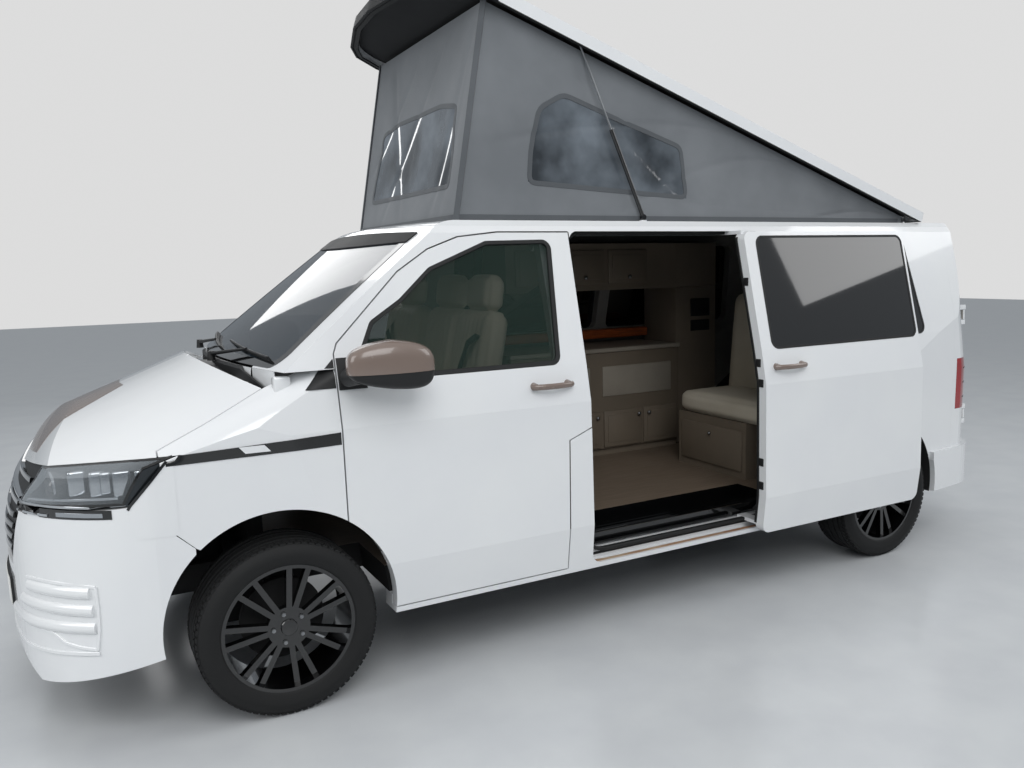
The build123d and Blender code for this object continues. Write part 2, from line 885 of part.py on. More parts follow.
with BuildPart() as slider_pane:
    add(flush_skin.part)
    extrude(grown(slider_glass_sketch, -pane_gap), amount=-width, mode=Mode.INTERSECT)
with BuildPart() as side_glass:
    add(flush_skin.part)
    extrude(grown(quarter_glass_sketch, -pane_gap), amount=width, both=True, mode=Mode.INTERSECT)
    add(slider_pane.part.moved(Location((-slide_back, slide_out, 0))))
    add(mirror(slider_pane.part, about=Plane.XZ, mode=Mode.PRIVATE))
write(side_glass.part, "side_glass")

# Front doors, their glass and their mirrors
for side, name in ((1, "left"), (-1, "right")):
    with BuildPart() as front_door:
        add(cabin_shell.part)
        add(block((rear_end, side * door_inner_y, 0), (front_end, -side * width, floor_z)),
            mode=Mode.SUBTRACT)
        add(block((rear_end, side * door_top_inner_y, 0), (front_end, -side * width, length)),
            mode=Mode.SUBTRACT)
        extrude(door_sketch, amount=-side * width, mode=Mode.INTERSECT)
        extrude(door_glass_sketch, amount=-side * width, mode=Mode.SUBTRACT)
        add(arch_cut(side), mode=Mode.SUBTRACT)
        for z in strap_heights:
            add(block((strap_rear_x, side * strap_inner_y, z),
                      (door_front_x, side * strap_outer_y, z + strap_height)))
            add(block((strap_rear_x, side * strap_inner_y, z),
                      (wing_rear_x + shut_gap - seat_gap, side * strap_tip_y, z + strap_height)))
    write(front_door.part, f"front_door_{name}")
    with BuildPart() as door_pane:
        add(drop_skin.part)
        extrude(grown(door_glass_sketch, -pane_gap), amount=-side * width, mode=Mode.INTERSECT)
    write(door_pane.part, f"door_glass_{name}")
    with BuildPart() as mirror_head:
        with Locations((mirror_x, side * mirror_y, mirror_z)):
            Box(mirror_depth, mirror_width, mirror_height)
        fillet(mirror_head.edges(), mirror_round)
        with Locations((mirror_foot_x, side * mirror_foot_y, mirror_foot_z)):
            Box(mirror_foot_length, mirror_foot_width, mirror_foot_height)
        add(outside_cabin, mode=Mode.SUBTRACT)
    write(mirror_head.part, f"mirror_{name}")

# Zones that split the nose into its panels
with BuildPart() as bonnet_zone:
    with BuildSketch(Plane.XY) as lid:
        with BuildLine():
            ThreePointArc((bonnet_rear_x, -bonnet_corner_y), (bonnet_rear_mid_x, 0),
                          (bonnet_rear_x, bonnet_corner_y))
            Polyline((bonnet_rear_x, bonnet_corner_y), (crown_x, crown_edge_y),
                     (bonnet_turn_x, bonnet_turn_y),
                     (bonnet_turn_x, lamp_outer_y), (front_end, lamp_outer_y), (front_end, -lamp_outer_y),
                     (bonnet_turn_x, -lamp_outer_y), (bonnet_turn_x, -bonnet_turn_y),
                     (crown_x, -crown_edge_y),
                     (bonnet_rear_x, -bonnet_corner_y))
        make_face()
    extrude(amount=deck_z)
    with BuildSketch(Plane.YZ) as lip:
        with BuildLine():
            Polyline((0, lip_mid_z), (lamp_inner_y, lamp_inner_z), (lamp_outer_y, lamp_outer_z),
                     (width, lamp_outer_z), (width, deck_z), (-width, deck_z), (-width, lamp_outer_z),
                     (-lamp_outer_y, lamp_outer_z), (-lamp_inner_y, lamp_inner_z), close=True)
        make_face()
    extrude(amount=length, mode=Mode.INTERSECT)

with BuildPart() as bonnet:
    add(front)
    add(front_form(bonnet_wall), mode=Mode.SUBTRACT)
    add(bonnet_zone.part, mode=Mode.INTERSECT)
    for side in (1, -1):
        for y in (bonnet_hinge_y - 2 * bonnet_ear - seat_gap, bonnet_hinge_y + bonnet_ear + seat_gap):
            add(block((bonnet_hinge_x - bonnet_ear, side * y, bonnet_hinge_z - bonnet_ear),
                      (bonnet_hinge_x + bonnet_ear, side * (y + bonnet_ear),
                       bonnet_hinge_z - bonnet_ear + bonnet_tab_length)))
        with BuildSketch(Plane.XZ.offset(-side * (bonnet_hinge_y - 2 * bonnet_ear))) as pin:
            with Locations((bonnet_hinge_x, bonnet_hinge_z)):
                Circle(bonnet_pin)
        extrude(amount=-side * 4 * bonnet_ear)
write(bonnet.part, "bonnet")


def lamp_face(side, gap):
    """Headlamp outline seen from the front, larger by the gap."""
    with BuildSketch(Plane.YZ.offset(crown_x)) as face:
        with BuildLine():
            Polyline((side * lamp_inner_y, lamp_inner_z), (side * lamp_outer_y, lamp_outer_z),
                     (side * lamp_base_outer_y, lamp_base_outer_z),
                     (side * lamp_base_inner_y, lamp_base_inner_z),
                     close=True)
        make_face()
        offset(amount=gap, kind=Kind.INTERSECTION)
    return face.sketch


with BuildPart() as headlamps:
    add(front)
    add(front_form(lamp_thick), mode=Mode.SUBTRACT)
    with BuildPart(mode=Mode.PRIVATE) as lamp_room:
        for side in (1, -1):
            extrude(lamp_face(side, -shut_gap / 2), amount=front_end)
    add(lamp_room.part, mode=Mode.INTERSECT)
write(headlamps.part, "headlamps")

with BuildSketch(Plane.YZ.offset(crown_x)) as grille_face:
    with BuildLine():
        Polyline((0, lip_mid_z - shut_gap), (lamp_inner_y - shut_gap, lamp_inner_z - shut_gap),
                 (lamp_base_inner_y - shut_gap, lamp_base_inner_z), (lamp_base_inner_y, bezel_z),
                 (grille_tip_y, grille_tip_z), (-grille_tip_y, grille_tip_z), (-lamp_base_inner_y, bezel_z),
                 (-lamp_base_inner_y + shut_gap, lamp_base_inner_z),
                 (-lamp_inner_y + shut_gap, lamp_inner_z - shut_gap), close=True)
    make_face()
with BuildPart() as grille:
    add(front_form(grille_set))
    add(front_form(grille_set + grille_depth), mode=Mode.SUBTRACT)
    extrude(grille_face.sketch, amount=front_end, mode=Mode.INTERSECT)
write(grille.part, "grille")

# Front bumper
with BuildPart() as front_bumper:
    add(front)
    add(front_form(bumper_wall), mode=Mode.SUBTRACT)
    with BuildSketch(Plane.XZ) as bumper_side:
        with BuildLine():
            Polyline((seam_low_x, seam_low_z), (seam_high_x, lamp_base_outer_z - shut_gap),
                     (front_end, bumper_top_z),
                     (front_end, bumper_front_z), (bumper_lip_x, bumper_base_z),
                     (bumper_rear_x, bumper_rear_z),
                     (seam_low_x, bumper_rear_z), close=True)
        make_face()
    extrude(amount=width, both=True, mode=Mode.INTERSECT)
    extrude(grown(grille_face.sketch, seat_gap), amount=front_end, mode=Mode.SUBTRACT)
    for side in (1, -1):
        add(arch_cut(side), mode=Mode.SUBTRACT)
        bracket_x = cowl_x + rail_length + beam_thick + seat_gap
        add(block((bracket_x, side * bumper_bracket_y, rail_base_z + bumper_bracket_set),
                  (bracket_x + bumper_bracket_length, side * (bumper_bracket_y + bumper_bracket_width),
                   rail_top_z - bumper_bracket_set)))
write(front_bumper.part, "front_bumper")

# Front wings
for side, name in ((1, "left"), (-1, "right")):
    with BuildPart() as wing:
        add(front_shell.part)
        with BuildSketch(Plane.XZ) as wing_side:
            with BuildLine():
                Polyline((wing_rear_x, front_arch_z), (seam_low_x - wing_seam, seam_low_z),
                         (seam_high_x - wing_seam, lamp_base_outer_z), (wing_front_x, lamp_outer_z),
                         (wing_front_x, wing_top_z), (wing_rear_x, wing_top_z), close=True)
            make_face()
        extrude(amount=-side * width, mode=Mode.INTERSECT)
        extrude(grown(lid.sketch, shut_gap), amount=deck_z, mode=Mode.SUBTRACT)
        extrude(lamp_face(side, seat_gap), amount=front_end, mode=Mode.SUBTRACT)
        add(block((bay_x, 0, floor_z), (bonnet_rear_mid_x + shut_gap, side * (scuttle_y + seat_gap), length)),
            mode=Mode.SUBTRACT)
        add(arch_cut(side), mode=Mode.SUBTRACT)
    write(wing.part, f"wing_{name}")

# Scuttle under the windscreen, and the bulkhead with the door posts
with BuildPart() as scuttle:
    with BuildSketch(Plane.XY.offset(scuttle_base_z)) as tray:
        with BuildLine():
            ThreePointArc((scuttle_rear_x, -scuttle_y), (scuttle_rear_mid_x, 0), (scuttle_rear_x, scuttle_y))
            Line((scuttle_rear_x, scuttle_y), (bonnet_rear_x - scuttle_gap, scuttle_y))
            ThreePointArc((bonnet_rear_x - scuttle_gap, scuttle_y), (bonnet_rear_mid_x - scuttle_gap, 0),
                          (bonnet_rear_x - scuttle_gap, -scuttle_y))
            Line((bonnet_rear_x - scuttle_gap, -scuttle_y), (scuttle_rear_x, -scuttle_y))
        make_face()
    extrude(amount=scuttle_top_z - scuttle_base_z)
    with BuildPart(mode=Mode.PRIVATE) as lip:
        add(cabin_form(-scuttle_lip))
        add(block((scuttle_rear_x, -scuttle_y, scuttle_base_z),
                  (bonnet_rear_mid_x, scuttle_y, scuttle_lip_z)),
            mode=Mode.INTERSECT)
    add(lip.part)
    add(outside_cabin, mode=Mode.SUBTRACT)
    add(front_form(wing_wall / 2), mode=Mode.INTERSECT)
    for side in (1, -1):
        add(block((bonnet_hinge_x - 2 * bonnet_ear, side * (bonnet_hinge_y - 3 * bonnet_ear), 0),
                  (bonnet_rear_mid_x, side * (bonnet_hinge_y + 3 * bonnet_ear), length)), mode=Mode.SUBTRACT)
write(scuttle.part, "scuttle")

with BuildPart() as bulkhead:
    add(block((cowl_x - wall, -post_outer_y, floor_z), (cowl_x, post_outer_y, bulkhead_top_z)))
    for side in (1, -1):
        add(block((wing_rear_x + shut_gap, side * post_inner_y, floor_z),
                  (cowl_x - wall, side * post_outer_y, bulkhead_top_z)))
        add(block((cowl_x, side * rail_inner, rail_base_z),
                  (cowl_x + rail_length, side * rail_outer, rail_top_z)))
        add(arch_cut(side), mode=Mode.SUBTRACT)
        add(block((bonnet_hinge_x - bonnet_ear, side * (bonnet_hinge_y - bonnet_ear),
                   bulkhead_top_z - bonnet_ear),
                  (bonnet_hinge_x + bonnet_ear, side * (bonnet_hinge_y + bonnet_ear), bonnet_hinge_z)))
        with BuildSketch(Plane.XZ.offset(-side * (bonnet_hinge_y - bonnet_ear))) as ear:
            with Locations((bonnet_hinge_x, bonnet_hinge_z)):
                Circle(bonnet_ear)
        extrude(amount=-side * 2 * bonnet_ear)
    with BuildSketch(Plane.XZ) as ear_bore:
        with Locations((bonnet_hinge_x, bonnet_hinge_z)):
            Circle(bonnet_pin + seat_gap)
    extrude(amount=scuttle_y, both=True, mode=Mode.SUBTRACT)
    beam_x = cowl_x + rail_length
    add(block((beam_x, -beam_half_y, rail_base_z), (beam_x + beam_thick, beam_half_y, rail_top_z)))
write(bulkhead.part, "bulkhead")

# Floor with the rear wheel houses and the recess for the entry step
with BuildPart() as floor_pan:
    add(block((floor_rear_x, -floor_half, floor_base_z), (cowl_x - wall - seat_gap, floor_half, floor_z)))
    add(block((step_rear_x, step_inner_y, 0), (step_front_x, width, floor_z)), mode=Mode.SUBTRACT)
    for side in (1, -1):
        with BuildSketch(Plane.XZ.offset(-side * house_inner_y)) as house:
            with Locations((rear_axle_x, front_arch_z)):
                Circle(rear_arch_radius + house_thick)
        extrude(amount=-side * (house_outer_y - house_inner_y))
        add(block((rear_end, side * house_inner_y, 0), (0, side * width, floor_base_z)), mode=Mode.SUBTRACT)
        with BuildSketch(Plane.XZ.offset(-side * (house_inner_y + house_thick))) as house_room:
            with Locations((rear_axle_x, front_arch_z)):
                Circle(rear_arch_radius)
            with Locations((rear_axle_x, 0)):
                Rectangle(2 * rear_arch_radius, 2 * front_arch_z)
        extrude(amount=-side * width, mode=Mode.SUBTRACT)
        with BuildSketch(Plane.XZ.offset(-side * front_house_y)) as front_room:
            with Locations((front_axle_x + arch_shift, front_arch_z)):
                Circle(front_arch_radius)
        extrude(amount=-side * width, mode=Mode.SUBTRACT)
        add(block((opening_front_x - seat_gap, side * (sill_core_y - seat_gap), 0),
                  (pillar_x + seat_gap, side * width, floor_z)), mode=Mode.SUBTRACT)
    add(lined, mode=Mode.INTERSECT)
write(floor_pan.part, "floor_pan")

with BuildPart() as step_tray:
    add(block((step_rear_x + seat_gap, step_inner_y + seat_gap, step_z),
              (step_front_x - seat_gap, sill_inner_y - seat_gap, floor_z)))
    add(block((step_rear_x + step_wall, step_inner_y + step_wall, step_z + step_wall),
              (step_front_x - step_wall, sill_inner_y - step_wall, floor_z)), mode=Mode.SUBTRACT)
    add(block((step_rear_x + step_wall, sill_inner_y - step_wall, step_lip_z),
              (step_front_x - step_wall, sill_inner_y, floor_z)), mode=Mode.SUBTRACT)
write(step_tray.part, "step_tray")

# Rear bumper, wrapped round the tail
with BuildPart() as rear_bumper:
    with BuildSketch(Plane.XY.offset(rear_bumper_base_z)) as wrap:
        with BuildLine():
            Polyline((rear_bumper_front_x, half_width - bumper_tuck), (tail_turn_x, tail_turn_y + bumper_out))
            ThreePointArc((tail_turn_x, tail_turn_y + bumper_out),
                          (tail_bow_x - bumper_out, tail_bow_y + bumper_out),
                          (rear_end + bumper_out, tail_y))
            ThreePointArc((rear_end + bumper_out, tail_y), (rear_end, 0), (rear_end + bumper_out, -tail_y))
            ThreePointArc((rear_end + bumper_out, -tail_y),
                          (tail_bow_x - bumper_out, -tail_bow_y - bumper_out),
                          (tail_turn_x, -tail_turn_y - bumper_out))
            Polyline((tail_turn_x, -tail_turn_y - bumper_out),
                     (rear_bumper_front_x, -half_width + bumper_tuck),
                     (rear_bumper_front_x, half_width - bumper_tuck))
        make_face()
    extrude(amount=rear_bumper_top_z - rear_bumper_base_z)
    add(outside_cabin, mode=Mode.SUBTRACT)
    for side in (1, -1):
        add(arch_cut(side), mode=Mode.SUBTRACT)
write(rear_bumper.part, "rear_bumper")

# Running gear that shows from below
with BuildPart() as front_subframe:
    add(block((front_axle_x - subframe_length / 2, -subframe_half, subframe_z),
              (front_axle_x + subframe_length / 2, subframe_half, floor_base_z - seat_gap)))
    for side in (1, -1):
        add(block((front_axle_x - arm_width / 2, side * subframe_half, subframe_z),
                  (front_axle_x + arm_width / 2, side * arm_end_y, subframe_z + arm_height)))
write(front_subframe.part, "front_subframe")

with BuildPart() as engine_block:
    add(block((engine_rear_x, -engine_half, floor_base_z), (engine_front_x, engine_half, engine_top_z)))
    fillet(engine_block.edges().filter_by(Axis.Z), engine_round)
write(engine_block.part, "engine_block")

with BuildPart() as tow_crossmember:
    add(block((tow_bar_x, -tow_bar_half, tow_bar_base_z),
              (tow_bar_x + tow_bar_thick, tow_bar_half, floor_base_z - seat_gap)))
    with BuildSketch(Plane.YZ.offset(tow_bar_x - tow_boss_length)) as socket:
        with Locations((tow_y, tow_z)):
            Circle(tow_boss_radius)
    extrude(amount=tow_boss_length)
    with BuildSketch(Plane.YZ.offset(tow_bar_x - tow_boss_length)) as bore:
        with Locations((tow_y, tow_z)):
            Circle(tow_bore_radius)
    extrude(amount=tow_depth, mode=Mode.SUBTRACT)
write(tow_crossmember.part, "tow_crossmember")

with BuildPart() as rear_axle:
    with BuildSketch(Plane.XZ.offset(-beam_half)) as beam:
        with Locations((rear_axle_x, tyre_radius)):
            Circle(beam_radius)
    extrude(amount=2 * beam_half)
    with BuildSketch(Plane.XZ.offset(-stub_half)) as stub:
        with Locations((rear_axle_x, tyre_radius)):
            Circle(stub_radius)
    extrude(amount=2 * stub_half)
    for side in (1, -1):
        with BuildSketch(Plane.XZ.offset(-side * disc_y)) as disc:
            with Locations((rear_axle_x, tyre_radius)):
                Circle(disc_radius)
        extrude(amount=-side * disc_thick)
        add(block((rear_axle_x, side * trailing_inner_y, tyre_radius - beam_radius),
                  (trailing_front_x, side * trailing_outer_y, floor_base_z - seat_gap)))
write(rear_axle.part, "rear_axle")

with BuildPart() as fuel_tank:
    add(block((tank_rear_x, -tank_half, tank_base_z), (tank_front_x, tank_half, floor_base_z - seat_gap)))
    fillet(fuel_tank.edges(), tank_round)
write(fuel_tank.part, "fuel_tank")

# Steering knuckles with their brake discs
for side, name in ((1, "left"), (-1, "right")):
    with BuildPart() as knuckle:
        add(block((front_axle_x - knuckle_length / 2, side * knuckle_inner_y, knuckle_base_z),
                  (front_axle_x + knuckle_length / 2, side * (knuckle_inner_y + knuckle_thick),
                   knuckle_top_z)))
        add(block((front_axle_x - knuckle_length / 4, side * knuckle_inner_y, knuckle_base_z),
                  (front_axle_x + knuckle_length / 4, side * (kingpin_y + pin_radius),
                   knuckle_base_z + arm_height)))
        with BuildSketch(Plane.XY.offset(subframe_z + arm_height + seat_gap)) as pin:
            with Locations((front_axle_x, side * (arm_end_y - 2 * pin_radius))):
                Circle(pin_radius)
        extrude(amount=knuckle_base_z - subframe_z - arm_height)
        for radius, start_y, end_y in ((stub_radius, knuckle_inner_y, stub_half),
                                       (disc_radius, disc_y, disc_y + disc_thick)):
            with BuildSketch(Plane.XZ.offset(-side * start_y)) as round_part:
                with Locations((front_axle_x, tyre_radius)):
                    Circle(radius)
            extrude(amount=-side * (end_y - start_y))
    write(knuckle.part, f"knuckle_{name}")


def tyre_at(x, side):
    """Tyre with rounded shoulders, turned about the axle."""
    with BuildPart() as tyre:
        with BuildSketch(Plane.XY.offset(tyre_radius)) as ring:
            with BuildLine():
                bead = side * wheel_y - tyre_width / 2 + bead_set
                far = side * wheel_y + tyre_width / 2 - bead_set
                low, high = side * wheel_y - tyre_width / 2, side * wheel_y + tyre_width / 2
                Line((x + rim_radius, bead), (x + rim_radius, far))
                ThreePointArc((x + rim_radius, far), (x + sidewall_radius, high),
                              (x + shoulder_radius, high - shoulder_set))
                ThreePointArc((x + shoulder_radius, high - shoulder_set),
                              (x + tyre_radius - tread_drop, high - tread_set),
                              (x + tyre_radius, side * wheel_y + tread_half))
                Line((x + tyre_radius, side * wheel_y + tread_half),
                     (x + tyre_radius, side * wheel_y - tread_half))
                ThreePointArc((x + tyre_radius, side * wheel_y - tread_half),
                              (x + tyre_radius - tread_drop, low + tread_set),
                              (x + shoulder_radius, low + shoulder_set))
                ThreePointArc((x + shoulder_radius, low + shoulder_set), (x + sidewall_radius, low),
                              (x + rim_radius, bead))
            make_face()
        revolve(axis=Axis((x, 0, tyre_radius), (0, 1, 0)))
    return tyre.part


def rim_at(x, side):
    """Rim with seven forked spokes, a hub with five bolt holes and a brake disc's room."""
    face = side * (wheel_y + rim_face_y)
    with BuildPart() as rim:
        with BuildSketch(Plane.XZ.offset(-(side * (wheel_y - rim_half)))) as barrel:
            with Locations((x, tyre_radius)):
                Circle(rim_radius - seat_gap)
                Circle(rim_radius - rim_thick, mode=Mode.SUBTRACT)
        extrude(amount=-side * 2 * rim_half)
        with BuildSketch(Plane.XZ.offset(-face)) as spokes:
            with Locations((x, tyre_radius)):
                Circle(hub_radius)
                for turn in (spoke_fork, -spoke_fork):
                    with PolarLocations(spoke_mid, spoke_count, start_angle=turn):
                        Rectangle(spoke_length, spoke_width)
        extrude(amount=side * spoke_depth)
        with BuildSketch(Plane.XZ.offset(-face)) as bolts:
            with Locations((x, tyre_radius)):
                with PolarLocations(bolt_circle / 2, bolt_count):
                    Circle(bolt_hole_radius)
        extrude(amount=side * spoke_depth, mode=Mode.SUBTRACT)
    return rim.part


for x, end in ((front_axle_x, "front"), (rear_axle_x, "rear")):
    for side, name in ((1, "left"), (-1, "right")):
        write(tyre_at(x, side), f"tyre_{end}_{name}")
        write(rim_at(x, side), f"rim_{end}_{name}")

# Pop roof, drawn closed in a plane that is tipped up about its hinge
tip = math.radians(roof_angle)
roof_plane = Plane((roof_hinge_x, 0, roof_hinge_z), x_dir=(math.cos(tip), 0, math.sin(tip)),
                   z_dir=(-math.sin(tip), 0, math.cos(tip)))


def roof_outline(inset, height):
    """Outline of the roof shell from above, in its own plane."""
    with BuildSketch(roof_plane.offset(height)) as outline:
        with BuildLine():
            Polyline((inset - roof_tail, 0), (inset - roof_tail, roof_half - inset),
                     (roof_side_end - inset, roof_half - inset))
            ThreePointArc((roof_side_end - inset, roof_half - inset),
                          (roof_corner_x - inset, roof_corner_y - inset),
                          (roof_bow_x - inset, roof_bow_y - inset / 2))
            ThreePointArc((roof_bow_x - inset, roof_bow_y - inset / 2), (roof_front_x - inset, roof_front_y),
                          (roof_length - inset, 0))
            mirror(about=Plane.XZ)
        make_face()
    return outline.sketch


with BuildPart() as pop_roof:
    extrude(roof_outline(0, -roof_skirt), amount=roof_skirt + roof_crown)
    extrude(roof_outline(roof_wall, -roof_skirt), amount=roof_skirt + roof_crown - roof_wall,
            mode=Mode.SUBTRACT)
    notch_width = roof_ear_width + 2 * roof_notch
    with BuildSketch(roof_plane.offset(-roof_skirt)) as notches:
        with Locations((0, roof_ear_y), (0, -roof_ear_y)):
            Rectangle(2 * roof_tail, notch_width)
    extrude(amount=roof_skirt + roof_crown - roof_wall, mode=Mode.SUBTRACT)
    with BuildSketch(roof_plane.offset(-roof_pin)) as tabs:
        for side in (1, -1):
            with Locations(*[(0, side * roof_ear_y + end * (notch_width + roof_tab) / 2) for end in (1, -1)]):
                Rectangle(roof_tab, roof_tab)
    extrude(amount=roof_pin + roof_crown - roof_wall / 2)
    for side in (1, -1):
        with BuildSketch(Plane.XZ.offset(-side * (roof_ear_y - roof_ear_width))) as pin:
            with Locations((roof_hinge_x, roof_hinge_z)):
                Circle(roof_pin)
        extrude(amount=-side * 2 * roof_ear_width)
write(pop_roof.part, "pop_roof")

# Fabric walls between the roof frame and the raised roof
with BuildSketch(Plane.XZ) as tent_side:
    with BuildLine():
        Polyline((tent_rear_x, deck_z + seat_gap), (tent_front_x, deck_z + seat_gap),
                 (tent_front_x - tent_lean * width, deck_z + width), (tent_rear_x, deck_z + width),
                 close=True)
    make_face()
with BuildPart() as canvas:
    extrude(tent_side.sketch, amount=tent_half, both=True)
    extrude(grown(tent_side.sketch, -canvas_thick), amount=tent_half - canvas_thick, both=True,
            mode=Mode.SUBTRACT)
    with BuildSketch(roof_plane.offset(-roof_skirt - seat_gap)) as lid_plane:
        Rectangle(2 * length, 2 * width)
    extrude(amount=length, mode=Mode.SUBTRACT)
    add(block((-length, -tent_half + canvas_thick, 0), (tent_front_x - canvas_thick,
                                                        tent_half - canvas_thick, deck_z + overrun)),
        mode=Mode.SUBTRACT)
write(canvas.part, "canvas")

# Lifting struts, in two lengths that slide into each other
strut_foot = Vector(strut_foot_x, 0, strut_foot_z)
strut_head = strut_foot + Vector(strut_length * math.cos(math.radians(strut_angle)), 0,
                                 strut_length * math.sin(math.radians(strut_angle)))
strut_way = (strut_head - strut_foot).normalized()
for side, name in ((1, "left"), (-1, "right")):
    foot = Vector(strut_foot_x, side * strut_y, strut_foot_z)
    foot_plane = Plane(foot, x_dir=(0, 1, 0), z_dir=strut_way)
    with BuildPart() as tube:
        with BuildSketch(foot_plane.offset(strut_eye_radius)) as ring:
            Circle(strut_tube_radius)
            Circle(strut_rod_radius + strut_play, mode=Mode.SUBTRACT)
        extrude(amount=strut_tube_length)
        with BuildSketch(foot_plane.offset(strut_eye_radius)) as cap:
            Circle(strut_tube_radius)
        extrude(amount=strut_wall)
        with BuildSketch(Plane.XZ.offset(-side * strut_y)) as eye:
            with Locations((strut_foot_x, strut_foot_z)):
                Circle(strut_eye_radius + strut_wall)
        extrude(amount=strut_eye_width / 2, both=True)
    write(tube.part, f"strut_tube_{name}")
    with BuildPart() as rod:
        with BuildSketch(foot_plane.offset(strut_length - strut_rod_length)) as bar:
            Circle(strut_rod_radius)
        extrude(amount=strut_rod_length)
    write(rod.part, f"strut_rod_{name}")

# Cab fittings
with BuildPart() as dashboard:
    with BuildSketch(Plane.XZ) as fascia:
        with BuildLine():
            Polyline((dash_rear_x, dash_base_z), (dash_rear_x, dash_brow_z), (dash_front_x, dash_top_z),
                     (dash_front_x, dash_base_z), close=True)
        make_face()
    extrude(amount=post_inner_y - seat_gap, both=True)
write(dashboard.part, "dashboard")

with BuildPart() as steering_wheel:
    hub = Plane((wheel_hub_x, -driver_y, wheel_hub_z), x_dir=(0, 1, 0), z_dir=(-wheel_rake, 0, 1))
    with BuildSketch(hub) as grip:
        Circle(steering_radius)
        Circle(steering_radius - steering_grip, mode=Mode.SUBTRACT)
        Circle(steering_grip * 2)
        Rectangle(2 * steering_radius - steering_grip, steering_grip)
    extrude(amount=steering_grip)
    with BuildSketch(hub) as column:
        Circle(steering_grip)
    extrude(amount=-column_length)
    add(dashboard.part, mode=Mode.SUBTRACT)
write(steering_wheel.part, "steering_wheel")


def seat_at(y, seat_width):
    """Cab seat as one soft block: cushion, backrest and headrests."""
    with BuildPart() as seat:
        with BuildSketch(Plane.XZ.offset(-y)) as side_view:
            with BuildLine():
                Polyline(*placed(seat_shares, seat_rear_x, seat_depth, seat_base_z, seat_height), close=True)
            make_face()
            fillet(side_view.vertices(), seat_round)
        extrude(amount=seat_width / 2, both=True)
    return seat.part


write(seat_at(-driver_y, seat_width), "driver_seat")
write(seat_at(bench_seat_y, double_width), "double_seat")
with BuildPart() as seat_bases:
    for y, wide in ((-driver_y, seat_width), (bench_seat_y, double_width)):
        add(block((seat_rear_x + seat_base_set, y - wide / 2 + seat_base_set, floor_z + seat_gap),
                  (seat_rear_x + seat_depth - seat_base_set, y + wide / 2 - seat_base_set,
                   seat_base_z - seat_gap)))
write(seat_bases.part, "seat_bases")

# Camping furniture, trimmed to the inside of the walls
with BuildPart() as kitchen_unit:
    add(block((kitchen_rear_x, -kitchen_outer_y, floor_z + seat_gap),
              (kitchen_front_x, -kitchen_inner_y, worktop_z)))
    with BuildSketch(Plane.XZ.offset(kitchen_inner_y)) as lockers:
        with Locations(*[(x, kitchen_door_z) for x in kitchen_door_x]):
            RectangleRounded(kitchen_door_width, kitchen_door_height, kitchen_door_round)
    extrude(amount=kitchen_groove, mode=Mode.SUBTRACT)
    add(lined, mode=Mode.INTERSECT)
write(kitchen_unit.part, "kitchen_unit")

with BuildPart() as overhead_lockers:
    add(block((kitchen_rear_x, -width, locker_base_z), (kitchen_front_x, -locker_inner_y, locker_top_z)))
    add(lined, mode=Mode.INTERSECT)
write(overhead_lockers.part, "overhead_lockers")

with BuildPart() as bench_base:
    add(block((bench_rear_x, bench_inner_y, floor_z + seat_gap), (bench_front_x, bench_outer_y, bench_top_z)))
write(bench_base.part, "bench_base")

with BuildPart() as bench_cushions:
    add(block((bench_back_x + bench_back_thick + seat_gap, bench_inner_y, bench_top_z + seat_gap),
              (bench_front_x + bench_lap, bench_cushion_outer_y, bench_top_z + bench_cushion)))
    fillet(bench_cushions.edges(), cushion_round)
with BuildPart() as bench_back:
    add(block((bench_back_x, bench_inner_y, bench_top_z + seat_gap),
              (bench_back_x + bench_back_thick, bench_cushion_outer_y - bench_cushion, bench_back_z)))
    fillet(bench_back.edges(), cushion_round)
write(bench_cushions.part, "bench_cushion")
write(bench_back.part, "bench_backrest")
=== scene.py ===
"""Looks of a long camper van with a raised pop roof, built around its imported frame.

Metres, in the frame's axes: +X forward, +Y to the van's left side, +Z up. A length is an x, a width is a y
and a height is a z. Sections of strips are given as width, height and sink below the surface.
"""

import logging
import math
from dataclasses import dataclass
from enum import Enum
from typing import Callable, Sequence

import bmesh
import bpy
from mathutils import Matrix, Vector, noise
from mathutils.bvhtree import BVHTree


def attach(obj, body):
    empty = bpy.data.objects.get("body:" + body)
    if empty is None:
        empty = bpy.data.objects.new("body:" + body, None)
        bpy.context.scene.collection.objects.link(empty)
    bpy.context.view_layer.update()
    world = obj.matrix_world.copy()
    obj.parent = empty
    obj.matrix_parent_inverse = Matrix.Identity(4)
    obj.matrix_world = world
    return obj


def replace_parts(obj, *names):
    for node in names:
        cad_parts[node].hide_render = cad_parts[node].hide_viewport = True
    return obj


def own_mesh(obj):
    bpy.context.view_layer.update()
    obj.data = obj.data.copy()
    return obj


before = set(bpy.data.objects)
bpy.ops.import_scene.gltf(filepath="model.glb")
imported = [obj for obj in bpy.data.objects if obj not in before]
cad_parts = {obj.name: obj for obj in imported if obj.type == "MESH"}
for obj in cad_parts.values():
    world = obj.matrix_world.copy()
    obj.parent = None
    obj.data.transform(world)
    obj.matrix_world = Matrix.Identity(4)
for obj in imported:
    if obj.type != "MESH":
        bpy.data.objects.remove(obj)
LOG = logging.getLogger("camper")
Point = tuple[float, float, float]
Pair = tuple[float, float]
Found = Sequence[tuple[Vector, Vector]]
Rule = Callable[[Vector, Vector], int]
MM = 0.001
SIDES = ((1, "left"), (-1, "right"))


def linear(code: str) -> tuple[float, float, float, float]:
    """Turn an sRGB hex colour into linear values.

    Args:
        code: six hex digits.

    Returns:
        Red, green, blue and an alpha of one.
    """
    channels = [int(code[i:i + 2], 16) / 255 for i in (0, 2, 4)]
    return tuple(c / 12.92 if c <= 0.04045 else ((c + 0.055) / 1.055) ** 2.4 for c in channels) + (1.0,)


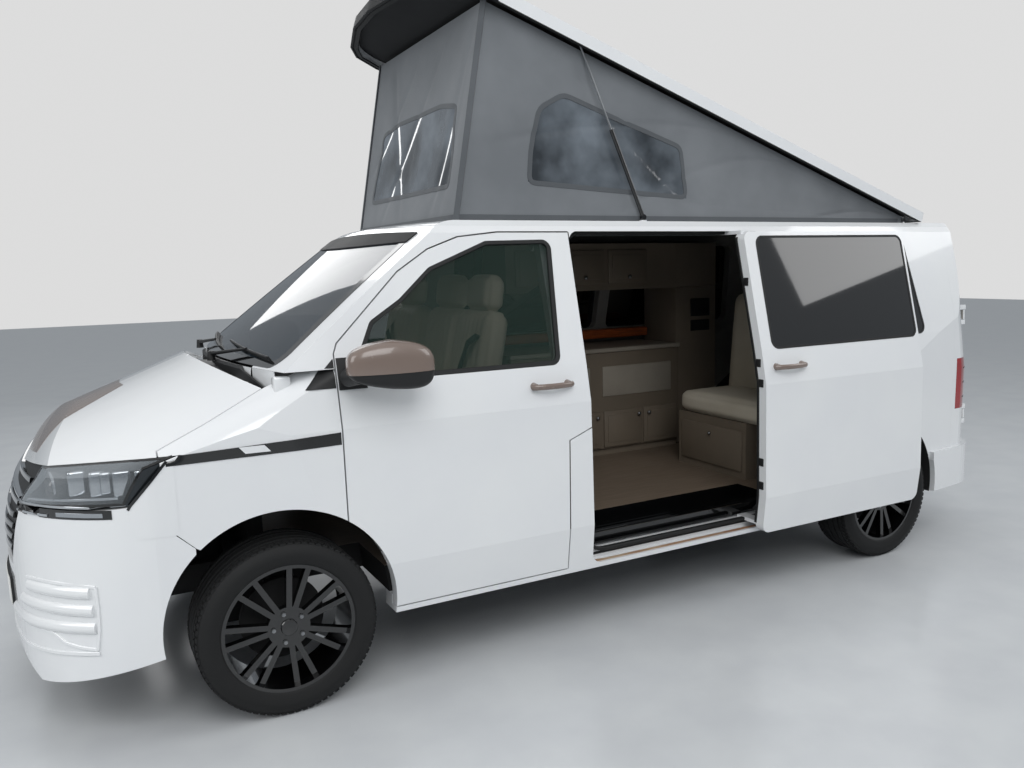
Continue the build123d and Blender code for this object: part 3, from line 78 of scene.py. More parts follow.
def add_node(tree: bpy.types.NodeTree, kind: str, settings: dict, links: dict) -> bpy.types.Node:
    """Add a node to a material, with its settings and its incoming links.

    Args:
        tree: the material's node tree.
        kind: the node's type name.
        settings: attributes by name, and socket values by socket name.
        links: output sockets by the name, or number, of the input that they feed.

    Returns:
        The new node.
    """
    node = tree.nodes.new(kind)
    for name, value in settings.items():
        if name in node.inputs:
            node.inputs[name].default_value = value
        else:
            setattr(node, name, value)
    for name, socket in links.items():
        tree.links.new(socket, node.inputs[name])
    return node


class Grain(Enum):
    """Surface patterns, by how the real surface was made."""

    PEEL = "sprayed paint"
    MOULDED = "grained moulding"
    WEAVE = "woven cloth"
    HIDE = "leather grain"
    WOOD = "wood grain"
    CAST = "cast or rolled metal"
    CLEAR = "clear sheet"


@dataclass(frozen=True)
class Finish:
    """One finish of the van, named for its real material.

    size_mm and depth_mm are the width and the depth of its pattern, second is its other colour, and slot names
    the part's material slot, which its pieces are not given.
    """

    name: str
    colour: str
    grain: Grain
    size_mm: float
    depth_mm: float
    roughness: float
    second: str = ""
    slot: str = "black_plastic"
    metallic: float = 0.0
    coat: float = 0.0
    sheen: float = 0.0
    alpha: float = 1.0

    def material(self) -> bpy.types.Material:
        """Build the material once and return it."""
        made = bpy.data.materials.get(self.name)
        if made:
            return made
        made = bpy.data.materials.new(self.name)
        made.use_nodes = True
        tree = made.node_tree
        shader = tree.nodes["Principled BSDF"]
        for socket, value in {"Roughness": self.roughness, "Metallic": self.metallic, "Coat Weight": self.coat,
                              "Coat Roughness": 0.04, "Sheen Weight": self.sheen, "Alpha": self.alpha,
                              "IOR": 1.5, "Base Color": linear(self.colour)}.items():
            shader.inputs[socket].default_value = value
        if self.grain is Grain.CLEAR:
            self._clear(tree, shader)
        else:
            self._pattern(tree, shader)
        return made

    def _clear(self, tree: bpy.types.NodeTree, shader: bpy.types.Node) -> None:
        """Make a clear sheet denser where it is seen at a slant, with a faint smear.

        Args:
            tree: the material's node tree.
            shader: its Principled node.
        """
        place = add_node(tree, "ShaderNodeTexCoord", {}, {}).outputs["Object"]
        smear = add_node(tree, "ShaderNodeTexNoise", {"Scale": 9.0, "Detail": 4.0}, {"Vector": place})
        rough = add_node(tree, "ShaderNodeMapRange", {"To Min": 0.0, "To Max": self.roughness + 0.03},
                         {"Value": smear.outputs["Fac"]})
        tree.links.new(rough.outputs["Result"], shader.inputs["Roughness"])
        if self.alpha < 1:
            slant = add_node(tree, "ShaderNodeLayerWeight", {"Blend": 0.25}, {})
            dense = add_node(tree, "ShaderNodeMapRange", {"To Min": self.alpha, "To Max": 0.95},
                             {"Value": slant.outputs["Facing"]})
            tree.links.new(dense.outputs["Result"], shader.inputs["Alpha"])

    def _pattern(self, tree: bpy.types.NodeTree, shader: bpy.types.Node) -> None:
        """Give the shader its colour change, roughness change and relief.

        Args:
            tree: the material's node tree.
            shader: its Principled node.
        """
        place = add_node(tree, "ShaderNodeTexCoord", {}, {}).outputs["Object"]
        scale = 1 / (self.size_mm * MM)
        at_place = {"Vector": place}
        if self.grain is Grain.WEAVE:
            wave = {"wave_type": "BANDS", "Scale": scale / 3, "Distortion": 1.2, "Detail": 1.0,
                    "Detail Scale": 3.0}
            threads = {}
            for number, way in enumerate(("X", "Z")):
                thread = add_node(tree, "ShaderNodeTexWave", {**wave, "bands_direction": way}, at_place)
                threads[number] = thread.outputs["Fac"]
            relief = add_node(tree, "ShaderNodeMath", {"operation": "MAXIMUM"}, threads).outputs[0]
        elif self.grain is Grain.WOOD:
            stretch = add_node(tree, "ShaderNodeMapping", {"Scale": (0.06, 1.0, 1.0)}, at_place)
            relief = add_node(tree, "ShaderNodeTexNoise", {"Scale": scale, "Detail": 6.0, "Distortion": 0.6},
                              {"Vector": stretch.outputs["Vector"]}).outputs["Fac"]
        elif self.grain in (Grain.HIDE, Grain.MOULDED):
            relief = add_node(tree, "ShaderNodeTexVoronoi", {"Scale": scale}, at_place).outputs["Distance"]
        else:
            relief = add_node(tree, "ShaderNodeTexNoise", {"Scale": scale, "Detail": 3.0},
                              at_place).outputs["Fac"]
        bump = add_node(tree, "ShaderNodeBump", {"Strength": 0.5, "Distance": self.depth_mm * MM},
                        {"Height": relief})
        tree.links.new(bump.outputs["Normal"], shader.inputs["Normal"])
        broad = add_node(tree, "ShaderNodeTexNoise", {"Scale": 3.0, "Detail": 4.0}, at_place)
        if self.second:
            source = relief if self.grain is Grain.WOOD else broad.outputs["Fac"]
            ramp = add_node(tree, "ShaderNodeValToRGB", {}, {"Fac": source})
            for stop, at, code in zip(ramp.color_ramp.elements, (0.35, 0.65), (self.colour, self.second)):
                stop.position, stop.color = at, linear(code)
            tree.links.new(ramp.outputs["Color"], shader.inputs["Base Color"])
        wear = add_node(tree, "ShaderNodeMapRange",
                        {"To Min": self.roughness * 0.85, "To Max": self.roughness * 1.2},
                        {"Value": broad.outputs["Fac"]})
        tree.links.new(wear.outputs["Result"], shader.inputs["Roughness"])


# White enamel under clearcoat: a faint orange peel and deep even gloss
PAINT = Finish("white enamel with clearcoat", "E9EBEC", Grain.PEEL, 6, 0.01, 0.22, "E6E8EA",
               "paint", coat=1.0)
# Door glass: clear seen straight on, green and denser at a slant
CLEAR_GLASS = Finish("green tinted float glass", "22352E", Grain.CLEAR, 1, 0, 0.0, alpha=0.36)
# Windscreen: a bluish dark sheet that mirrors the light above it
SCREEN_GLASS = Finish("laminated windscreen", "1A2833", Grain.CLEAR, 1, 0, 0.0, alpha=0.55, coat=0.5)
# Privacy glass: nearly black, mirror smooth
DARK_GLASS = Finish("dark privacy glass", "0A0B0D", Grain.CLEAR, 1, 0, 0.02, coat=1.0)
# Lamp lens: colourless, seen by its highlights alone
LENS = Finish("clear polycarbonate lens", "C8D0D6", Grain.CLEAR, 1, 0, 0.0, alpha=0.12, coat=1.0)
# Rear lens: deep red with a soft ripple moulded behind it
RED_LENS = Finish("red acrylic lens", "8E0B10", Grain.PEEL, 9, 0.2, 0.08, "A01016", coat=0.8)
# Tent window: film that bags a little, so its reflections bend; drawn opaque, its grey and pale patches are
# painted reflection and its dark patches painted shade of the space behind it
FILM = Finish("vinyl film with painted reflection and shade", "727A82", Grain.PEEL, 60, 3.0, 0.06, "2A2F34", coat=0.6)
# Gloss black trim: sharp reflections on near black
BLACK_GLOSS = Finish("black gloss moulding", "08090A", Grain.PEEL, 7, 0.01, 0.10, "0B0C0D", coat=0.8)
# Grained plastic: a fine pebble that breaks up the light
BLACK_PLASTIC = Finish("black grained moulding", "141516", Grain.MOULDED, 1.6, 0.08, 0.55, "191A1B")
# Seal rubber: dull and slightly uneven
RUBBER = Finish("black rubber seal", "101112", Grain.PEEL, 2.5, 0.05, 0.62, "151617")
# Tyre rubber: darker and drier than the seals
TYRE = Finish("tyre rubber", "08090A", Grain.PEEL, 3, 0.15, 0.72, "0F1011", "tyre_rubber")
# Painted alloy: black with clean long highlights along the spokes
RIM = Finish("black painted alloy", "060607", Grain.CAST, 5, 0.01, 0.16, "09090A", "rim_black", coat=1.0)
# Steel: grey metal with a soft sheen
STEEL = Finish("brushed steel", "9A9C9E", Grain.CAST, 2, 0.03, 0.35, "85878A", "strut_metal", metallic=1.0)
# Chrome: a bright mirror
CHROME = Finish("bright chrome", "C9CCCF", Grain.CAST, 12, 0.005, 0.08, "BEC1C4", metallic=1.0)
# Mirror caps and handles: brown grey paint, glossy but not sharp
TAUPE = Finish("taupe satin cap", "7C6D64", Grain.PEEL, 5, 0.01, 0.26, "776860", "mirror_cap", coat=0.7)
# Underside: black, rough and lumpy
UNDERCOAT = Finish("black undercoat", "101011", Grain.CAST, 8, 0.5, 0.75, "1A1A1B")
# Tent cloth: matt grey with a visible weave
CANVAS = Finish("grey woven canvas", "777B7F", Grain.WEAVE, 2.4, 0.35, 0.85, "6D7175",
                "canvas_cloth", sheen=0.2)
# Binding: a tighter and darker weave than the cloth
TAPE = Finish("grey binding tape", "54585C", Grain.WEAVE, 1.6, 0.2, 0.8, "4E5256", "canvas_cloth", sheen=0.2)
# Seat leather: warm cream with fine pores and a soft shine
COVER = Finish("cream leather cover", "CFC7B6", Grain.HIDE, 2.2, 0.12, 0.50, "C4BBA8",
               "seat_cover", sheen=0.1)
# Cabinet fronts: even brown grey laminate
LAMINATE = Finish("taupe cabinet laminate", "7C7163", Grain.MOULDED, 2.0, 0.03, 0.45, "746A5D", "cabinet")
# Worktop: paler and smoother than the fronts
PANEL = Finish("grey worktop laminate", "A39C90", Grain.PEEL, 3.0, 0.03, 0.35, "948D82", "cabinet")
# Shelf edge: strong orange wood with dark lines of grain
TRIM_WOOD = Finish("orange stained wood", "B0592A", Grain.WOOD, 6, 0.05, 0.38, "843C18", "cabinet", coat=0.3)
# Floor: printed vinyl with a faint wood grain
FLOOR_VINYL = Finish("taupe vinyl floor", "7B6D5F", Grain.WOOD, 9, 0.08, 0.45, "6C5F52")
# Sill: pale metal stained brown where the paint is worn
RUST = Finish("sill with light rust", "B9A48B", Grain.CAST, 14, 0.2, 0.6, "8A5A36", "paint")
# Plate: flat white, slightly warm
PLATE = Finish("blank number plate", "F2F2EE", Grain.PEEL, 4, 0.01, 0.3, "ECECE8", "paint")
# Inner trim: matt grey board
LINING = Finish("grey trim board", "8D8B86", Grain.MOULDED, 3, 0.1, 0.7, "858380")
# Roof lining: matt and nearly black
HEADLINER = Finish("dark roof lining", "1B1C1E", Grain.MOULDED, 3, 0.15, 0.8, "222325")
# Lamp case: dark plated plastic behind the lens
LAMP_CASE = Finish("lamp housing", "3B3F43", Grain.CAST, 14, 0.02, 0.25, "2E3235", metallic=0.7)
# Reflector: soft bright metal
LAMP_DISC = Finish("satin reflector", "B4B8BC", Grain.CAST, 10, 0.01, 0.12, "A6AAAE",
                   "lamp_clear", metallic=1.0)
# Studio floor: pale and polished, so that the van has a soft reflection
FLOOR = Finish("pale polished floor", "C9CCCE", Grain.PEEL, 400, 0.1, 0.22, "C2C5C8")


class Form:
    """A mesh in the making, in metres and in the van's frame."""

    def __init__(self, name: str) -> None:
        """Start an empty form.

        Args:
            name: the piece's name.
        """
        self.name = name
        self.bm = bmesh.new()

    def box(self, low: Point, high: Point, bevel: float = 0.003, segments: int = 2) -> None:
        """Add a box with rounded edges.

        Args:
            low: lowest corner.
            high: highest corner.
            bevel: radius of its edges.
            segments: steps in that radius.
        """
        low, high = Vector(low), Vector(high)
        size = [abs(c) for c in high - low]
        place = Matrix.Translation((low + high) / 2) @ Matrix.Diagonal((*size, 1))
        verts = bmesh.ops.create_cube(self.bm, size=1.0, matrix=place)["verts"]
        edges = {e for v in verts for e in v.link_edges}
        bmesh.ops.bevel(self.bm, geom=list(edges), offset=min(bevel, min(size) * 0.45), segments=segments,
                        affect="EDGES", profile=0.5, material=-1)

    def bar(self, start: Point, end: Point, radius: float, radius_end: float | None = None,
            sides: int = 24) -> None:
        """Add a round bar or cone between two points.

        Args:
            start: middle of one end.
            end: middle of the other end.
            radius: radius at the start.
            radius_end: radius at the end, the same when left out.
            sides: number of faces round it.
        """
        start, end = Vector(start), Vector(end)
        along = end - start
        turn = Vector((0, 0, 1)).rotation_difference(along).to_matrix().to_4x4()
        place = Matrix.Translation((start + end) / 2) @ turn
        bmesh.ops.create_cone(self.bm, cap_ends=True, segments=sides, radius1=radius,
                              radius2=radius if radius_end is None else radius_end, depth=along.length,
                              matrix=place)

    def ball(self, middle: Point, sizes: Point) -> None:
        """Add an ellipsoid.

        Args:
            middle: its centre.
            sizes: its three half sizes.
        """
        place = Matrix.Translation(middle) @ Matrix.Diagonal((*sizes, 1))
        bmesh.ops.create_uvsphere(self.bm, u_segments=32, v_segments=16, radius=1.0, matrix=place)

    def turned(self, outline: Sequence[Pair], middle: Point, axis: Point, steps: int = 64) -> None:
        """Add a form turned about an axis.

        Args:
            outline: (along the axis, out from it) points.
            middle: a point on the axis.
            axis: its direction.
            steps: number of steps round it.
        """
        axis = Vector(axis).normalized()
        out = axis.orthogonal().normalized()
        verts = [self.bm.verts.new(Vector(middle) + axis * a + out * r) for a, r in outline]
        edges = [self.bm.edges.new(pair) for pair in zip(verts, verts[1:])]
        bmesh.ops.spin(self.bm, geom=verts + edges, cent=middle, axis=axis, angle=2 * math.pi, steps=steps,
                       use_merge=True, use_duplicate=False)

    def swept(self, path: Sequence[Point], section: Sequence[Pair], up: Callable[[int], Vector],
              closed: bool = False) -> None:
        """Add a strip with the same section all along a path.

        Args:
            path: the points that it follows.
            section: (across, out) points of its section.
            up: outward direction at a path point's number.
            closed: whether the path's ends join.
        """
        points = [Vector(p) for p in path]
        count = len(points)
        rings = []
        for i, point in enumerate(points):
            before = points[i - 1] if i or closed else point
            after = points[(i + 1) % count] if i < count - 1 or closed else point
            along = (after - before).normalized()
            out = up(i)
            out = (out - along * out.dot(along)).normalized()
            across = along.cross(out)
            rings.append([self.bm.verts.new(point + across * a + out * o) for a, o in section])
        size = len(section)
        for i in range(count if closed else count - 1):
            first, second = rings[i], rings[(i + 1) % count]
            for k in range(size):
                self.bm.faces.new((first[k], first[(k + 1) % size], second[(k + 1) % size], second[k]))
        if not closed:
            self.bm.faces.new(rings[0][::-1])
            self.bm.faces.new(rings[-1])

    def made(self, finish: Finish, body: str = "body", smooth: float = 35, slot: str = "",
             more: Sequence[Finish] = ()) -> bpy.types.Object:
        """Close the form up as a piece that rides on a body.

        Args:
            finish: its finish.
            body: the body it rides on.
            smooth: edges sharper than this many degrees stay sharp.
            slot: not used.
            more: finishes of its further material numbers.

        Returns:
            The piece.
        """
        bmesh.ops.remove_doubles(self.bm, verts=self.bm.verts, dist=1e-6)
        bmesh.ops.recalc_face_normals(self.bm, faces=self.bm.faces)
        mesh = bpy.data.meshes.new(self.name)
        self.bm.to_mesh(mesh)
        self.bm.free()
        piece = bpy.data.objects.new(self.name, mesh)
        bpy.context.scene.collection.objects.link(piece)
        for each in (finish, *more):
            mesh.materials.append(each.material())
        mesh.shade_smooth()
        mesh.set_sharp_from_angle(angle=math.radians(smooth))
        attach(piece, body)
        LOG.info("%s: %d faces on %s", self.name, len(mesh.polygons), body)
        return piece


def circle_through(a: Sequence[float], b: Sequence[float], c: Sequence[float]) -> tuple[float, float, float]:
    """Circle through three points of a plane.

    Args:
        a: the first point.
        b: the second point.
        c: the third point.

    Returns:
        Its middle's two coordinates and its radius.
    """
    d = 2 * (a[0] * (b[1] - c[1]) + b[0] * (c[1] - a[1]) + c[0] * (a[1] - b[1]))
    squares = [p[0] ** 2 + p[1] ** 2 for p in (a, b, c)]
    u = (squares[0] * (b[1] - c[1]) + squares[1] * (c[1] - a[1]) + squares[2] * (a[1] - b[1])) / d
    v = (squares[0] * (c[0] - b[0]) + squares[1] * (a[0] - c[0]) + squares[2] * (b[0] - a[0])) / d
    return u, v, math.hypot(a[0] - u, a[1] - v)


@dataclass(frozen=True)
class Skin:
    """The body's outer surface, for pieces that lie on it."""

    heights: tuple = ((0.324, 0.928), (0.540, 0.952), (1.114, 0.940), (1.284, 0.904), (1.869, 0.759),
                      (1.902, 0.730))
    plan: tuple = ((-2.39, 0.884), (-1.70, 0.952), (1.50, 0.952), (2.15, 0.900))
    cheek: tuple = ((2.600, 0.440), (2.440, 0.730), (2.150, 0.900))
    rear: tuple = ((-2.575, 0.640), (-2.515, 0.806), (-2.390, 0.884))
    lean_z: float = 1.05
    lean: float = 0.19

    def side(self, x: float, z: float) -> float:
        """How far out the left side is.

        Args:
            x: length at which it is asked.
            z: height at which it is asked.

        Returns:
            The distance from the van's middle plane.
        """
        shift = self.lean * max(0.0, z - self.lean_z)
        plan = self._along(self.plan, x)
        for points, at, used in ((self.cheek, x, x > self.plan[-1][0]),
                                 (self.rear, x - shift, x - shift < self.plan[0][0])):
            if used:
                u, v, radius = circle_through(*points)
                plan = v + math.sqrt(max(0.0, radius * radius - (at - u) ** 2))
        return min(self._along(self.heights, z), plan)

    @staticmethod
    def _along(table: Sequence[Pair], at: float) -> float:
        """Read a table of points between its rows.

        Args:
            table: its (place, value) rows in order.
            at: the place that is asked for.

        Returns:
            The value there.
        """
        if at <= table[0][0]:
            return table[0][1]
        for (a, va), (b, vb) in zip(table, table[1:]):
            if at <= b:
                return va + (vb - va) * (at - a) / (b - a)
        return table[-1][1]


SKIN = Skin()


def rounded(points: Sequence[Pair], radius: float, steps: int = 5) -> list[Pair]:
    """Round the corners of a closed outline.

    Args:
        points: its corners.
        radius: how far from each corner the rounding starts.
        steps: points in each rounding.

    Returns:
        The rounded outline.
    """
    made = []
    count = len(points)
    for i, corner in enumerate(points):
        corner = Vector(corner)
        before, after = Vector(points[i - 1]), Vector(points[(i + 1) % count])
        start = corner + (before - corner).normalized() * min(radius, (before - corner).length * 0.45)
        end = corner + (after - corner).normalized() * min(radius, (after - corner).length * 0.45)
        for k in range(steps + 1):
            t = k / steps
            made.append(tuple((1 - t) ** 2 * start + 2 * t * (1 - t) * corner + t * t * end))
    return made


def mirrored(point: Point, side: int) -> Vector:
    """A left-side point, or its mirror image on the right when the side is -1."""
    return Vector((point[0], side * point[1], point[2]))


def dense(outline: Sequence[Pair], step: float = 0.05) -> list[Pair]:
    """Put extra points along the straight parts of a closed outline.

    Args:
        outline: its points.
        step: longest distance wanted between points.

    Returns:
        The outline with its extra points.
    """
    made = []
    for a, b in zip(outline, outline[1:] + outline[:1]):
        count = max(1, round(math.dist(a, b) / step))
        made += [(a[0] + (b[0] - a[0]) * i / count, a[1] + (b[1] - a[1]) * i / count) for i in range(count)]
    return made


def strip(width: float, height: float, sink: float = 0.002) -> list[Pair]:
    """Section of a flat strip with slightly rounded upper corners.

    Args:
        width: its width.
        height: how far it stands out.
        sink: how far it goes in.

    Returns:
        (across, out) points of the section.
    """
    half, edge = width / 2, min(width, height) * 0.25
    return [(-half, -sink), (half, -sink), (half, height - edge), (half - edge, height),
            (edge - half, height), (-half, height - edge)]


class Surface:
    """Surfaces of CAD nodes that trim pieces are laid on."""

    def __init__(self, *nodes: str) -> None:
        """Collect the nodes' faces.

        Args:
            nodes: names of the CAD nodes.
        """
        verts, faces = [], []
        for node in nodes:
            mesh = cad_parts[node].data
            start = len(verts)
            verts.extend(v.co.copy() for v in mesh.vertices)
            faces.extend([start + i for i in face.vertices] for face in mesh.polygons)
        self.tree = BVHTree.FromPolygons(verts, faces)

    def hit(self, origin: Point, direction: Point, out: float = 0.0) -> tuple[Vector, Vector]:
        """First point that a ray meets, a little way out from the surface.

        A ray that runs through a shut line is tried again beside it.

        Args:
            origin: where the ray starts.
            direction: where it points.
            out: distance out from the surface.

        Returns:
            The point and the outward normal.
        """
        direction = Vector(direction)
        across = Vector((1, 0, 0)) if abs(direction.z) > 0.5 else Vector((0, 0, 1))
        for nudge in (0, -4, 4, -8, 8, -14, 14, -22, 22):
            shift = across * nudge * MM
            place, normal, _, _ = self.tree.ray_cast(Vector(origin) + shift, direction)
            if place is not None:
                break
        else:
            raise ValueError(f"no surface from {tuple(origin)} towards {tuple(direction)}")
        if normal.dot(direction) > 0:
            normal = -normal
        return place - shift + normal * out, normal

    def side(self, x: float, z: float, side: int = 1, out: float = 0.0) -> tuple[Vector, Vector]:
        """Point on the van's side, met from outside."""
        return self.hit((x, side * 1.5, z), (0, -side, 0), out)

    def front(self, y: float, z: float, out: float = 0.0) -> tuple[Vector, Vector]:
        """Point on the van's front, met from ahead."""
        return self.hit((3.2, y, z), (-1, 0, 0), out)

    def rear(self, y: float, z: float, out: float = 0.0) -> tuple[Vector, Vector]:
        """Point on the van's tail, met from behind."""
        return self.hit((-3.2, y, z), (1, 0, 0), out)

    def top(self, x: float, y: float, out: float = 0.0, start: float = 3.4) -> tuple[Vector, Vector]:
        """Point met from above."""
        return self.hit((x, y, start), (0, 0, -1), out)


def between(a: float, b: float, steps: int) -> list[float]:
    """Evenly spaced numbers from a to b, both included."""
    return [a + (b - a) * i / steps for i in range(steps + 1)]


def ribbon(form: Form, found: Found, width: float, height: float, sink: float = 0.002, closed: bool = False,
           shift: float = 0.0) -> None:
    """Lay a strip along points of a surface.

    Args:
        form: the form that takes it.
        found: points and normals.
        width: its width.
        height: how far it stands out.
        sink: how far it goes in.
        closed: whether its ends join.
        shift: how far it is moved out of a closed loop, or in when below zero.
    """
    section = [(a + shift, o) for a, o in strip(width, height, sink)]
    form.swept([p for p, _ in found], section, lambda i: found[i][1], closed)


def patch(form: Form, rows: Sequence[Sequence[Vector]], push: Point) -> None:
    """Add a thin skin over a grid of points, closed by a push inwards.

    Args:
        form: the form that takes it.
        rows: the grid.
        push: the inward push that gives it thickness.
    """
    verts = [[form.bm.verts.new(p) for p in row] for row in rows]
    faces = [form.bm.faces.new((a[i], a[i + 1], b[i + 1], b[i]))
             for a, b in zip(verts, verts[1:]) for i in range(len(a) - 1)]
    made = bmesh.ops.extrude_face_region(form.bm, geom=faces)
    pushed = [v for v in made["geom"] if isinstance(v, bmesh.types.BMVert)]
    bmesh.ops.translate(form.bm, vec=push, verts=pushed)


def panel(name: str, rows: Sequence[Sequence[Vector]], push: Point, finish: Finish, body: str = "body",
          smooth: float = 35) -> None:
    """Make a piece that is one thin skin.

    Args:
        name: its name.
        rows: the grid of points.
        push: the push that gives it thickness.
        finish: its finish.
        body: the body it rides on.
        smooth: edges sharper than this many degrees stay sharp.
    """
    form = Form(name)
    patch(form, rows, push)
    form.made(finish, body, smooth)


def trim(name: str, strips: Sequence[tuple[Found, Point]], finish: Finish, body: str = "body",
         slot: str = "") -> None:
    """Make a piece of strips laid on a surface.

    Args:
        name: its name.
        strips: each strip's points and normals, and its width, height and sink.
        finish: its finish.
        body: the body it rides on.
        slot: a material slot's name, handed on to Form.made.
    """
    form = Form(name)
    for found, size in strips:
        ribbon(form, found, *size)
    form.made(finish, body, slot=slot)


def edging(name: str, loops: Sequence[Found], size: Point, shift: float, finish: Finish,
           body: str = "body") -> None:
    """Make a piece of closed strips that run round panes.

    Args:
        name: its name.
        loops: points and normals round each pane.
        size: the strips' width, height and sink.
        shift: how far a strip is moved out of its loop, or in when below zero.
        finish: its finish.
        body: the body it rides on.
    """
    form = Form(name)
    for loop in loops:
        ribbon(form, loop, *size, True, shift)
    form.made(finish, body)


def rims(node: str, faces_out: Rule, step: float = 0.012) -> list[Found]:
    """Edges round the outward faces of a CAD node.

    Args:
        node: its name.
        faces_out: tells from a face's middle and normal whether it counts.
        step: shortest distance kept between points.

    Returns:
        A loop of points and normals for each separate region, all turning the same way.
    """
    bm = bmesh.new()
    bm.from_mesh(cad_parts[node].data)
    bmesh.ops.remove_doubles(bm, verts=bm.verts, dist=2e-5)
    chosen = {f for f in bm.faces if faces_out(f.calc_center_median(), f.normal)}
    around = {}
    for edge in bm.edges:
        inside = [f for f in edge.link_faces if f in chosen]
        if len(inside) == 1:
            for vert in edge.verts:
                around.setdefault(vert, []).append((edge.other_vert(vert), inside[0].normal.copy()))
    loops = []
    while around:
        vert = next(iter(around))
        loop = []
        while vert in around:
            links = around.pop(vert)
            if not loop or (vert.co - loop[-1][0]).length > step:
                loop.append((vert.co.copy(), links[0][1]))
            vert = next((other for other, _ in links if other in around), None)
        if len(loop) > 8:
            middle = sum((p for p, _ in loop), Vector()) / len(loop)
            area = sum(((a - middle).cross(b - middle).dot(n) for (a, n), (b, _) in zip(loop, loop[1:])), 0.0)
            loops.append(loop if area > 0 else loop[::-1])
    bm.free()
    return loops


def dress(node: str, finish: Finish, *others: Finish, rule: Rule | None = None) -> None:
    """Give a CAD node its finish, and some of its faces another.

    Args:
        node: its name.
        finish: its main finish.
        others: its further finishes.
        rule: gives a finish's number, 0 for the main one, from a face's middle and normal.
    """
    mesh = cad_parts[node].data
    mesh.materials.clear()
    for each in (finish, *others):
        mesh.materials.append(each.material())
    indexes = [int(rule(face.center, face.normal)) if rule else 0 for face in mesh.polygons]
    mesh.polygons.foreach_set("material_index", indexes)


class Shell:
    """Finishes of all the CAD nodes."""

    SIMPLE = {
        PAINT: ("bonnet", "rear_bumper", "roof_frame", "rear_frame"),
        UNDERCOAT: ("bulkhead", "front_subframe", "rear_axle", "tow_crossmember", "engine_block",
                    "knuckle_left", "knuckle_right"),
        BLACK_PLASTIC: ("scuttle", "grille", "seat_bases", "dashboard", "steering_wheel", "fuel_tank",
                        "mirror_left", "mirror_right"),
        BLACK_GLOSS: ("step_tray", "strut_tube_left", "strut_tube_right"),
        STEEL: ("strut_rod_left", "strut_rod_right"),
        CLEAR_GLASS: ("door_glass_left", "door_glass_right"),
        SCREEN_GLASS: ("windscreen",),
        DARK_GLASS: ("side_glass", "rear_glass_left", "rear_glass_right"),
        LAMINATE: ("overhead_lockers", "bench_base"),
        RED_LENS: ("tail_lamps",),
        CANVAS: ("canvas",),
        COVER: ("driver_seat", "double_seat", "bench_cushion", "bench_backrest"),
        RIM: ("rim_front_left", "rim_front_right", "rim_rear_left", "rim_rear_right"),
        TYRE: ("tyre_front_left", "tyre_front_right", "tyre_rear_left", "tyre_rear_right"),
    }

    def build(self) -> None:
        """Dress every node."""
        for finish, nodes in self.SIMPLE.items():
            for node in nodes:
                dress(node, finish)
        for side, name in SIDES:
            dress(f"body_side_{name}", PAINT, LINING, UNDERCOAT,
                  rule=lambda c, n, s=side: self._inward(c, n, s))
            dress(f"front_door_{name}", PAINT, BLACK_PLASTIC, rule=lambda c, n, s=side: n.y * s < -0.5)
            dress(f"wing_{name}", PAINT, UNDERCOAT, rule=lambda c, n, s=side: n.y * s < 0.3 and c.z < 0.86)
            dress(f"rear_door_{name}", PAINT, LINING, rule=lambda c, n: n.x > 0.6)
        dress("sliding_door", PAINT, LINING, rule=lambda c, n: n.y < -0.5)
        dress("front_bumper", PAINT, UNDERCOAT, rule=lambda c, n: n.x < -0.2)
        dress("floor_pan", UNDERCOAT, FLOOR_VINYL, rule=lambda c, n: n.z > 0.7 and c.z > 0.45)
        dress("pop_roof", PAINT, HEADLINER, rule=lambda c, n: n.z < -0.5)
        dress("kitchen_unit", LAMINATE, PANEL, rule=lambda c, n: n.z > 0.7 and c.z > 1.1)
        dress("headlamps", LENS, LAMP_CASE, rule=lambda c, n: not self.lens(c, n))

    @staticmethod
    def _inward(centre: Vector, normal: Vector, side: int) -> int:
        """Number of a body side's finish: 1 on its lining, 2 in its wheel arch, and 0 elsewhere.

        Args:
            centre: a face's middle.
            normal: the face's normal.
            side: 1 for the left, -1 for the right.

        Returns:
            The finish's number.
        """
        axle_x, arch_half, arch_top = -1.692, 0.50, 0.86
        if centre.z < arch_top and abs(centre.x - axle_x) < arch_half and normal.y * side < 0.3:
            return 2
        deep = SKIN.side(centre.x, centre.z) - abs(centre.y)
        return int(deep > 0.02 and normal.y * side < 0.4 and centre.z > 0.52 and centre.x < 0.9)

    @staticmethod
    def lens(centre: Vector, normal: Vector) -> bool:
        """Whether a face of a headlamp is on its outer side."""
        return normal.x > 0.02 and normal.y * centre.y > -0.3


